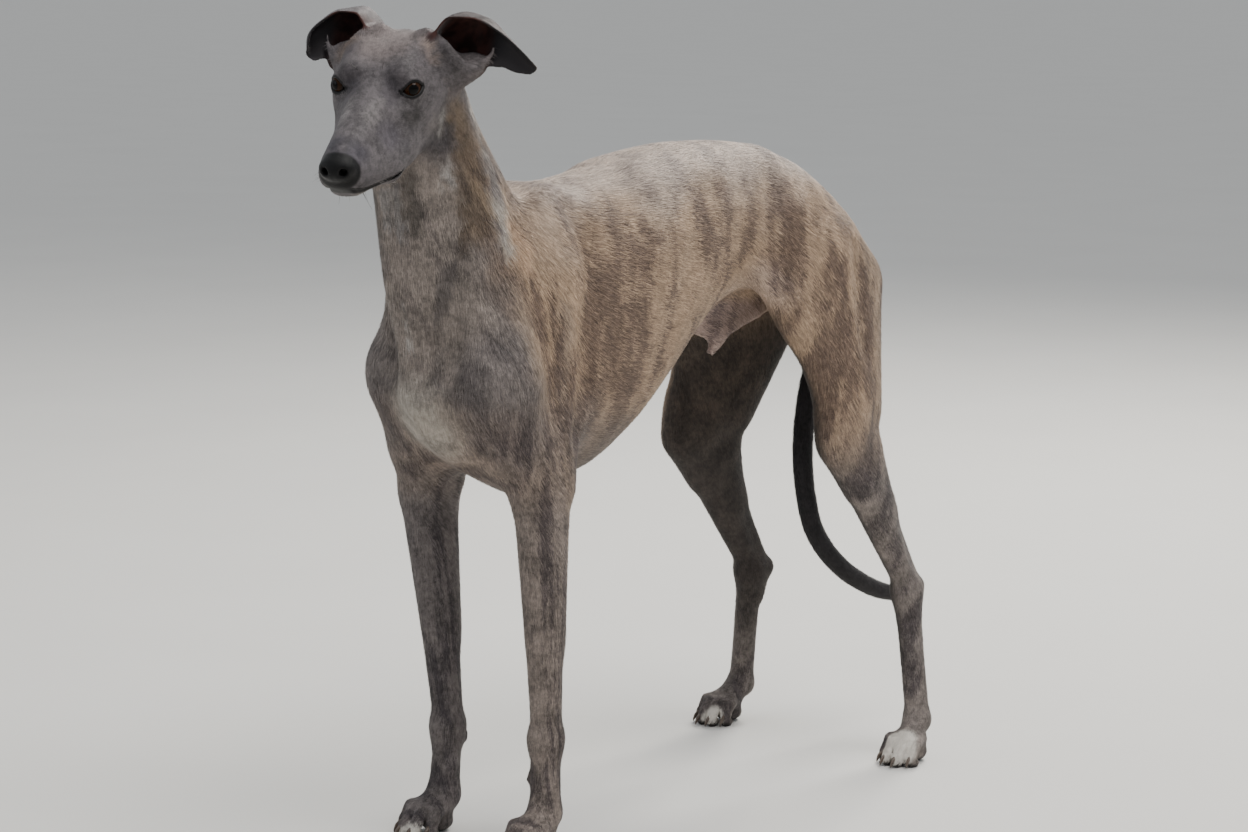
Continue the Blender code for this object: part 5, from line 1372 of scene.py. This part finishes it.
def tuft_sizes(p):
    """Space between tufts, their length and their width: smallest on face and feet."""
    face = rise(-0.14, 0.0, head_place(p)[:, 1]) * rise(0.70, 0.76, p[:, 2])
    foot = rise(0.16, 0.03, p[:, 2])
    leg = rise(0.42, 0.30, p[:, 2])
    ear = rise(0.012, 0.004, np.minimum(*(LEAVES[s].plain_distance(p) for s in (LEFT, RIGHT))))
    fine = np.maximum.reduce([face, foot * 0.9, ear * 0.9])
    small = np.maximum(fine, leg * 0.35)
    tail = rise(0.010, 0.006, TAIL_SHAPE.distance(p)) * rise(0.60, 0.55, p[:, 2])
    apart, length, width = (
        large + (least - large) * small for large, least in (TUFT_APART, TUFT_LENGTH, TUFT_WIDTH)
    )
    return apart, length + TAIL_TUFT_SPARE * tail, width


def seeded_roots(skin):
    """Evenly strewn places on the skin: points, normals."""
    mesh = skin.data
    mesh.calc_loop_triangles()
    corners = np.empty(len(mesh.loop_triangles) * 3, int)
    mesh.loop_triangles.foreach_get("vertices", corners)
    corners = corners.reshape(-1, 3)
    p, normal = places(mesh)
    triangles = p[corners]
    one, two = triangles[:, 1] - triangles[:, 0], triangles[:, 2] - triangles[:, 0]
    area = np.linalg.norm(np.cross(one, two), axis=1) / 2
    apart, _, _ = tuft_sizes(triangles.mean(1))
    reach = np.cumsum(area / apart ** 2)
    count = int(reach[-1])
    pick = np.searchsorted(reach, (np.arange(count) + RANDOM.random(count)) * reach[-1] / count)
    pick = np.minimum(pick, len(area) - 1)
    one, two = np.sqrt(RANDOM.random(count)), RANDOM.random(count)
    shares = np.stack([1 - one, one * (1 - two), one * two], 1)
    root = (triangles[pick] * shares[..., None]).sum(1)
    out = (normal[corners[pick]] * shares[..., None]).sum(1)
    return root, out / np.linalg.norm(out, axis=1, keepdims=True)


def on_skin(tree, points):
    """The nearest places of the skin and its normals there."""
    found = [tree.find_nearest(Vector(p)) for p in points]
    return np.array([f[0] for f in found]), np.array([f[1] for f in found])


def add_coat(skin, coat):
    """Flat tapered tufts in pieces from nose to tail, each tuft of five corners and three triangles."""
    root, out = seeded_roots(skin)
    bare = bare_skin(root, out)
    keep = bare[:, [0, 1, 3]].max(1) < 0.25
    keep &= RANDOM.random(len(root)) > bare[:, 2] * 4
    root, out = root[keep], out[keep]
    order = np.argsort(root[:, 1] - root[:, 2] * 0.2)
    root, out = root[order], out[order]
    _, length, width = tuft_sizes(root)
    count = len(root)
    length = length * (0.7 + 0.6 * RANDOM.random(count))
    run = lie(root, out)
    side = np.cross(out, run)
    sway = RANDOM.normal(0, TUFT_SWAY, count)[:, None]
    run = run * np.cos(sway) + side * np.sin(sway)
    side = np.cross(out, run)
    lift = COAT_DEPTH * length / TUFT_LENGTH[0] * (0.35 + 0.65 * RANDOM.random(count))
    p, _ = places(skin.data)
    tree = BVHTree.FromPolygons(p.tolist(), [tuple(face.vertices) for face in skin.data.polygons])
    half, half_out = on_skin(tree, root + run * length[:, None] * 0.5)
    tip, tip_out = on_skin(tree, root + run * length[:, None])

    # A tuft that would cross an edge of the skin is left out
    lies_flat = np.minimum((tip_out * out).sum(1), (half_out * out).sum(1)) > 0.3
    root, out, side, width, lift, half, tip, tip_out = (
        values[lies_flat] for values in (root, out, side, width, lift, half, tip, tip_out)
    )
    half = half + out * lift[:, None] * 0.6
    tip = tip + tip_out * lift[:, None]
    wide = side * width[:, None] / 2
    sunk = root - out * 0.0003
    corners = np.stack([sunk - wide, sunk + wide, half - wide * 0.8, half + wide * 0.8, tip], 1)
    light, flat, uv = unwrapped_copy(skin)
    shift = vec(*CENTRE, 0)
    spots = [light.find_nearest(Vector(q))[2] for q in root - shift]
    centre = (uv[spots] * shares_in(flat[spots], root - shift)[..., None]).sum(1)
    patch = TUFT_PATCH * np.array([(-0.5, -0.5), (0.5, -0.5), (-0.4, 0.1), (0.4, 0.1), (0.0, 0.5)])
    count = len(root)
    hair = RANDOM.random(count)
    bend = side * TUFT_LEAN
    shade = np.stack([out - bend, out + bend, out - bend, out + bend, out], 1)
    shade /= np.linalg.norm(shade, axis=2, keepdims=True)
    pieces = math.ceil(count * 3 / PIECE_TRIANGLES)
    for number, chunk in enumerate(np.array_split(np.arange(count), pieces), 1):
        uv_places = centre[chunk, None] + patch
        mesh = tuft_mesh(f"coat_{number:02d}", corners[chunk] - shift, uv_places, shade[chunk])
        write_marks(mesh, root[chunk], out[chunk], each=5)
        write_attribute(mesh, "hair", np.repeat(hair[chunk], 5))
        mesh.materials.append(coat)
        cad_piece(new_object(mesh))


def tuft_mesh(name, corners, uv, shade):
    """Tufts of five corners as one mesh, with the map for baking and rounded shading."""
    count = len(corners)
    mesh = bpy.data.meshes.new(name)
    mesh.vertices.add(count * 5)
    mesh.vertices.foreach_set("co", corners.astype(np.float32).ravel())
    faces = np.array([(1, 0, 2), (1, 2, 3), (3, 2, 4)])
    index = (np.arange(count)[:, None, None] * 5 + faces).ravel()
    mesh.loops.add(len(index))
    mesh.loops.foreach_set("vertex_index", index.astype(np.int32))
    mesh.polygons.add(len(index) // 3)
    mesh.polygons.foreach_set("loop_start", np.arange(0, len(index), 3, dtype=np.int32))
    mesh.update(calc_edges=True)
    layer = mesh.uv_layers.new(name="OFBake")
    layer.data.foreach_set("uv", uv.reshape(-1, 2)[index].astype(np.float32).ravel())
    mesh.shade_smooth()
    mesh.normals_split_custom_set_from_vertices(shade.reshape(-1, 3).tolist())
    return mesh


# Materials

def colour(code):
    """An sRGB hex colour as linear RGBA."""
    parts = [int(code[i:i + 2], 16) / 255 for i in (0, 2, 4)]
    return tuple(c / 12.92 if c <= 0.04045 else ((c + 0.055) / 1.055) ** 2.4 for c in parts) + (1.0,)


def new_material(name, roughness, shine):
    made = bpy.data.materials.new(name)
    made.use_nodes = True
    shader = made.node_tree.nodes["Principled BSDF"]
    for socket, value in {"Roughness": roughness, **shine}.items():
        shader.inputs[socket].default_value = value
    return made, made.node_tree, shader


def node(tree, kind, settings, *values, **named):
    """Adds a node; a value for an open socket, in turn or by name, is a constant, a socket or a node."""
    made = tree.nodes.new("ShaderNode" + kind)
    for name, value in settings.items():
        setattr(made, name, value)
    pairs = list(zip([socket for socket in made.inputs if socket.enabled], values))
    for socket, value in pairs + [(made.inputs[name], value) for name, value in named.items()]:
        if isinstance(value, bpy.types.Node):
            value = next(output for output in value.outputs if output.enabled)
        if isinstance(value, bpy.types.NodeSocket):
            tree.links.new(value, socket)
        else:
            socket.default_value = value
    return made


ADD, SUBTRACT, MULTIPLY = ({"operation": name} for name in ("ADD", "SUBTRACT", "MULTIPLY"))
MULTIPLY_ADD = {"operation": "MULTIPLY_ADD"}
COLOURS = {"data_type": "RGBA"}
SMOOTH = {"interpolation_type": "SMOOTHSTEP"}

# The brindle's noises: scale along, down and across the body, roughness and share
STRIPES = (
    ((36, 36, 36), 0.45, 0.60),        # broad stripes about 50 mm apart
    ((120, 100, 90), 0.50, 0.40),      # streaks of 10 mm
    ((420, 420, 300), 0.60, 0.24),     # flecks of a few millimetres
)
BAR_SHARE = 0.10
STRIPE_EDGE = (0.57, 0.72)             # where the sum of the noises turns from pale to dark


def coat_colour(tree, hair):
    """The coat's colour from the markings: hair is a number from 0 to 1 that differs from hair to hair."""
    tint = node(tree, "Attribute", {"attribute_name": "tint"})
    marks = node(tree, "Attribute", {"attribute_name": "marks"}).outputs["Vector"]
    place = node(tree, "Attribute", {"attribute_name": "brindle"}).outputs["Vector"]
    where = node(tree, "TexCoord", {}).outputs["Object"]
    streak = tint.outputs["Alpha"]
    mottle, bars, _ = node(tree, "SeparateXYZ", {}, marks).outputs
    stripe = node(tree, "Math", MULTIPLY, bars, BAR_SHARE)
    for scale, roughness, share in STRIPES:
        finer = node(tree, "VectorMath", MULTIPLY, place, scale)
        grain = node(tree, "TexNoise", {}, finer, 1.0, 2.0, roughness)
        stripe = node(tree, "Math", MULTIPLY_ADD, grain, share, stripe)
    dark = node(tree, "Math", MULTIPLY, node(tree, "MapRange", SMOOTH, stripe, *STRIPE_EDGE), streak)

    # Dark hairs are thickest in the streaks, and a few stand between them
    few = node(tree, "Math", MULTIPLY, node(tree, "Math", SUBTRACT, 0.60, hair), 0.60)
    few = node(tree, "Math", MULTIPLY, few, streak)
    share = node(tree, "Math", {"operation": "MULTIPLY_ADD", "use_clamp": True}, dark, 0.86, few)
    deep = node(tree, "Mix", {"data_type": "RGBA", "blend_type": "MULTIPLY"}, 1.0, tint.outputs["Color"],
                colour("98959e"))
    base = node(tree, "Mix", COLOURS, share, tint.outputs["Color"], deep)

    # Clouds a few centimetres wide with mottles a few millimetres wide
    cloud = node(tree, "TexNoise", {}, where, 38.0, 4.0, 0.62)
    speck = node(tree, "TexNoise", {}, where, 170.0, 3.0, 0.65)
    cloud = node(tree, "MapRange", SMOOTH, cloud, 0.36, 0.64, -0.24, 0.20)
    speck = node(tree, "MapRange", SMOOTH, speck, 0.38, 0.62, -0.22, 0.18)
    shade = node(tree, "Math", MULTIPLY, node(tree, "Math", ADD, cloud, speck), mottle)
    light = node(tree, "Math", ADD, shade, node(tree, "MapRange", SMOOTH, hair, 0.0, 1.0, 0.88, 1.14))
    return node(tree, "HueSaturation", {}, Color=base, Value=light)


def coat_material():
    """Short smooth dog hair: soft sheen along flat tufts, each tuft one tone of the marking it grows in."""
    shine = {"Sheen Weight": 0.06, "Sheen Roughness": 0.5, "Specular IOR Level": 0.3}
    made, tree, shader = new_material("short_hair_coat", 0.66, shine)
    hair = node(tree, "Attribute", {"attribute_name": "hair"}).outputs["Fac"]
    tree.links.new(coat_colour(tree, hair).outputs[0], shader.inputs["Base Color"])
    return made


def skin_material():
    """Skin under short hair: the coat's own colours with a fine nap, and bare leather where the hair ends."""
    shine = {"Sheen Weight": 0.02, "Sheen Roughness": 0.5, "Specular IOR Level": 0.2}
    made, tree, shader = new_material("skin_under_coat", 0.6, shine)
    where = node(tree, "TexCoord", {}).outputs["Object"]
    nap = node(tree, "TexNoise", {}, where, 900.0, 2.0, 0.6)
    hair = node(tree, "MapRange", SMOOTH, nap, 0.3, 0.7)
    bare = node(tree, "Attribute", {"attribute_name": "bare"})
    nose, rims, ear = node(tree, "SeparateColor", {}, bare.outputs["Color"]).outputs

    # The inside of an ear is pink deep in its cup and dark on the flap: the flap's dark is painted shade, for
    # its inner face is turned away from the light
    blotches = node(tree, "MapRange", SMOOTH, node(tree, "TexNoise", {}, where, 60.0, 2.0, 0.5), 0.38, 0.62)
    pink = node(tree, "Mix", COLOURS, blotches, colour("2a1a18"), colour("472c28"))
    marks = node(tree, "Attribute", {"attribute_name": "marks"}).outputs["Vector"]
    cup = node(tree, "SeparateXYZ", {}, marks).outputs[2]
    inside = node(tree, "Mix", COLOURS, cup, colour("252224"), pink)
    base = node(tree, "Mix", COLOURS, ear, coat_colour(tree, hair), inside)
    pads = bare.outputs["Alpha"]
    for share, code in ((pads, "2b2725"), (rims, "0c0a0b"), (nose, "050405")):
        base = node(tree, "Mix", COLOURS, share, base, colour(code))
    tree.links.new(base.outputs[2], shader.inputs["Base Color"])
    leather = node(tree, "Math", {"operation": "MAXIMUM"}, nose, rims)
    rough = node(tree, "MapRange", SMOOTH, leather, 0.0, 1.0, 0.6, 0.48)
    tree.links.new(rough.outputs[0], shader.inputs["Roughness"])

    # Nose leather is pebbled about a millimetre across
    pebbles = node(tree, "TexVoronoi", {"feature": "DISTANCE_TO_EDGE"}, Vector=where, Scale=800.0)
    pebbled = node(tree, "MapRange", SMOOTH, pebbles.outputs["Distance"], 0.0, 0.25)
    hairy = node(tree, "Math", MULTIPLY, nap, node(tree, "Math", SUBTRACT, 1.0, leather))
    height = node(tree, "Math", MULTIPLY_ADD, pebbled, nose, hairy)
    bump = node(tree, "Bump", {}, Strength=0.35, Distance=0.0004, Height=height)
    tree.links.new(bump.outputs[0], shader.inputs["Normal"])
    return made


def eye_material():
    """Wet eyeball: black pupil, amber-brown iris of fine spokes, dark edge and brownish white."""
    shine = {"Coat Weight": 0.45, "Coat Roughness": 0.03, "Coat IOR": 1.34, "Specular IOR Level": 0.0}
    made, tree, shader = new_material("wet_eye", 0.35, shine)
    gaze = node(tree, "Attribute", {"attribute_name": "gaze"}).outputs["Vector"]
    x, _, z = node(tree, "SeparateXYZ", {}, gaze).outputs
    flat = node(tree, "CombineXYZ", {}, x, 0.0, z)
    out = node(tree, "VectorMath", {"operation": "LENGTH"}, flat)
    around = node(tree, "Math", {"operation": "ARCTAN2"}, z, x)
    turns, rings = node(tree, "Math", MULTIPLY, around, 9.0), node(tree, "Math", MULTIPLY, out, 4.0)
    spokes = node(tree, "TexNoise", {}, node(tree, "CombineXYZ", {}, turns, rings, 0.0), 2.0, 4.0, 0.7)
    fibre = node(tree, "MapRange", SMOOTH, spokes, 0.35, 0.7)
    iris = node(tree, "Mix", COLOURS, fibre, colour("1c0f08"), colour("402610"))
    edge = node(tree, "MapRange", SMOOTH, out, 0.60, 0.80)
    iris = node(tree, "Mix", COLOURS, edge, iris, colour("100906"))
    seen = node(tree, "Mix", COLOURS, node(tree, "MapRange", SMOOTH, out, 0.40, 0.46), colour("030202"), iris)
    seen = node(tree, "Mix", COLOURS, node(tree, "MapRange", SMOOTH, out, 0.84, 0.92), seen, colour("4a3d38"))
    tree.links.new(seen.outputs[2], shader.inputs["Base Color"])
    return made


def two_tone_material(name, roughness, scale, detail, dark, pale, shine=()):
    """Two tones that run into each other in blotches, finer the greater the scale along x, y and z."""
    made, tree, shader = new_material(name, roughness, dict(shine))
    where = node(tree, "TexCoord", {}).outputs["Object"]
    grain = node(tree, "TexNoise", {}, node(tree, "VectorMath", MULTIPLY, where, scale), 1.0, detail, 0.5)
    tone = node(tree, "Mix", COLOURS, grain, colour(dark), colour(pale))
    tree.links.new(tone.outputs[2], shader.inputs["Base Color"])
    return made


# Small pieces

def deselect():
    for obj in bpy.context.selected_objects:
        obj.select_set(False)


def new_object(mesh):
    obj = bpy.data.objects.new(mesh.name, mesh)
    bpy.context.scene.collection.objects.link(obj)
    return obj


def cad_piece(obj):
    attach(obj, "root")
    return obj


def face_outwards(mesh):
    bm = bmesh.new()
    bm.from_mesh(mesh)
    bmesh.ops.recalc_face_normals(bm, faces=bm.faces[:])
    bm.to_mesh(mesh)
    bm.free()
    mesh.shade_smooth()


def add_eye(side, name, wet):
    """An eyeball with the cornea's bulge, in the place of its solid."""
    deselect()
    bpy.ops.mesh.primitive_uv_sphere_add(segments=64, ring_count=40, radius=EYE_RADIUS)
    obj = bpy.context.object
    obj.name = obj.data.name = name.replace("eye", "eyeball")
    mesh = obj.data
    local = np.empty(len(mesh.vertices) * 3)
    mesh.vertices.foreach_get("co", local)
    # The sphere's pole looks out of the head
    local = local.reshape(-1, 3)[:, [1, 2, 0]]
    gaze = local / EYE_RADIUS
    off_axis = np.linalg.norm(gaze[:, [0, 2]], axis=1)
    bulge = CORNEA_BULGE * rise(0.62, 0.30, off_axis) * (gaze[:, 1] > 0)
    local = local + gaze * bulge[:, None]
    world = vec(*eye_centre(side)) + local @ eye_axes(side).T - vec(*CENTRE, 0)
    mesh.vertices.foreach_set("co", world.ravel())
    write_attribute(mesh, "gaze", gaze)
    face_outwards(mesh)
    mesh.materials.append(wet)
    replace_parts(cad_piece(obj), name)


def tube(path, radii, sides=8, squeeze=1.0):
    """Rings along a path, closed with a point at each end, as vertices and faces."""
    path = np.array(path, float)
    verts, faces = [], []
    for i, (at, radius) in enumerate(zip(path, radii)):
        along = path[min(i + 1, len(path) - 1)] - path[max(i - 1, 0)]
        along /= np.linalg.norm(along)
        aside = np.cross(along, (0, 0, 1)) if abs(along[2]) < 0.95 else np.cross(along, (0, 1, 0))
        aside /= np.linalg.norm(aside)
        up = np.cross(aside, along)
        for k in range(sides):
            turn = 2 * math.pi * k / sides
            verts.append(at + radius * (math.cos(turn) * aside * squeeze + math.sin(turn) * up))
    for i in range(len(path) - 1):
        for k in range(sides):
            a, b = i * sides + k, i * sides + (k + 1) % sides
            faces.append((a, b, b + sides, a + sides))
    faces.append(tuple(range(sides))[::-1])
    faces.append(tuple(range(len(verts) - sides, len(verts))))
    return verts, faces


def joined_tubes(name, tubes, material):
    verts, faces = [], []
    for some, more in tubes:
        faces += [tuple(i + len(verts) for i in face) for face in more]
        verts += [v - vec(*CENTRE, 0) for v in some]
    mesh = bpy.data.meshes.new(name)
    mesh.from_pydata([tuple(v) for v in verts], [], faces)
    face_outwards(mesh)
    mesh.materials.append(material)
    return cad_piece(new_object(mesh))


# A claw's middle line, out of the toe, over and down: share of the toe's way aside, further ahead,
# height and radius
CLAW = (
    (1.040, -0.0020, 0.0135, 0.0026),
    (1.080, 0.0040, 0.0130, 0.0031),
    (1.110, 0.0095, 0.0095, 0.0026),
    (1.130, 0.0125, 0.0050, 0.0016),
    (1.135, 0.0135, 0.0022, 0.0006),
)
# Whiskers of lips, brows and chin in the head's frame, mirrored: place, direction, number and length
WHISKERS = (
    ((0.018, 0.088, -0.060), (0.9, -0.25, -0.25), 7, 0.026),
    ((0.021, 0.072, -0.067), (0.9, -0.30, -0.35), 6, 0.026),
    ((0.022, 0.002, 0.018), (0.4, 0.50, 0.80), 3, 0.018),
    ((0.010, 0.088, -0.082), (0.3, 0.10, -0.90), 3, 0.014),
)
WHISKER_RADII = {0: 0.00022, 0.33: 0.00018, 0.66: 0.00013, 1.0: 0.00005}    # by the share of its length


def add_claws(horn):
    tubes = []
    for paws, scale in ((FORE_PAW, FORE_PAW_SCALE), (HIND_PAW, HIND_PAW_SCALE)):
        for side, (aside, ahead) in itertools.product((LEFT, RIGHT), TOES):
            path = [
                moved(paws[side], aside * k * scale, -(ahead + far) * scale, up * scale)
                for k, far, up, _ in CLAW
            ]
            tubes.append(tube(path, [radius * scale for *_, radius in CLAW], 8, 0.75))
    joined_tubes("claws", tubes, horn)


def add_whiskers(bristle):
    """Whiskers, each rooted in the skin and drooping towards its tip."""
    tubes = []
    droop = -HEAD_AXES[:, 1] * 0.12 + vec(0, 0, -0.10)
    for side in (LEFT, RIGHT):
        for place, run, many, long in WHISKERS:
            for _ in range(many):
                spread = vec(*RANDOM.normal(0, 0.0045, 3))
                start = vec(*in_head(*(vec(*place) * (side, 1, 1) + spread)))
                axis = HEAD_AXES @ (vec(*run) * (side, 1, 1) + RANDOM.normal(0, 0.12, 3))
                start = start - axis * 0.004
                reach = long * (0.8 + 0.4 * RANDOM.random())
                path = [start + (axis + droop * t * 2) * reach * t for t in WHISKER_RADII]
                tubes.append(tube(path, WHISKER_RADII.values(), 4))
    joined_tubes("whiskers", tubes, bristle)


# Studio

def add_camera():
    """The photograph's view: a long lens from the dog's front left, a little above its back."""
    data = bpy.data.cameras.new("camera")
    data.sensor_width, data.lens, data.clip_end = 36, 93.03, 60
    obj = bpy.data.objects.new("camera", data)
    obj.location = (2.4292, -2.6934, 1.015)
    obj.rotation_euler = (math.radians(90 - 8.88), 0, math.radians(42))
    bpy.context.scene.collection.objects.link(obj)
    bpy.context.scene.camera = obj


def add_light(name, place, target, size, power, warm=(1, 1, 1)):
    data = bpy.data.lights.new(name, "AREA")
    data.shape, data.size, data.energy, data.color = "DISK", size, power, warm
    obj = bpy.data.objects.new(name, data)
    obj.location = place
    obj.rotation_euler = (Vector(target) - Vector(place)).to_track_quat("-Z", "Y").to_euler()
    bpy.context.scene.collection.objects.link(obj)


def add_studio():
    deselect()
    bpy.ops.mesh.primitive_plane_add(size=200)
    floor = bpy.context.object
    floor.name = floor.data.name = "floor"
    floor.data.materials.append(two_tone_material("pale_floor", 0.8, (3, 3, 3), 2.0, "d5d3cf", "dbd9d5"))
    world = bpy.data.worlds.new("studio")
    world.use_nodes = True
    sky = world.node_tree.nodes["Background"]
    sky.inputs["Color"].default_value = colour("e6eaee")
    sky.inputs["Strength"].default_value = 0.72
    bpy.context.scene.world = world
    add_light("key", (1.6, 0.2, 3.6), (0, 0, 0.5), 2.4, 95, (1, 0.98, 0.95))
    add_light("back", (-0.6, 3.0, 3.0), (0, -0.1, 0.6), 1.6, 170, (1, 0.97, 0.9))
    add_light("fill", (-2.0, -3.0, 1.6), (0, -0.1, 0.5), 2.4, 16, (0.93, 0.97, 1))


# The whole

RANDOM = np.random.default_rng(20)
LEAVES = {side: Leaf(ear_sheet(side, 36, 22), EAR_THICKNESS / 2) for side in (LEFT, RIGHT)}
TAIL_SHAPE = tail_form()
TAIL_BOX = ((-0.05, 0.24, 0.13), (0.06, 0.50, 0.625))


def main():
    add_camera()
    add_studio()
    skin = new_object(skin_mesh())
    p, normal = places(skin.data)
    write_marks(skin.data, p, normal)
    write_attribute(skin.data, "bare", bare_skin(p, normal))
    skin.data.materials.append(skin_material())
    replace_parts(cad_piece(skin), *FLESH)
    add_coat(skin, coat_material())
    wet = eye_material()
    add_eye(LEFT, "eye_left", wet)
    add_eye(RIGHT, "eye_right", wet)
    # Claw horn is dark, streaked along its length and slightly glossy; whiskers are stiff dark bristle
    add_claws(two_tone_material("claw_horn", 0.38, (900, 120, 300), 3.0, "2a221d", "6d5d50", {"IOR": 1.55}))
    add_whiskers(two_tone_material("whisker", 0.45, (40, 40, 40), 2.0, "241f1d", "5d5652"))


main()
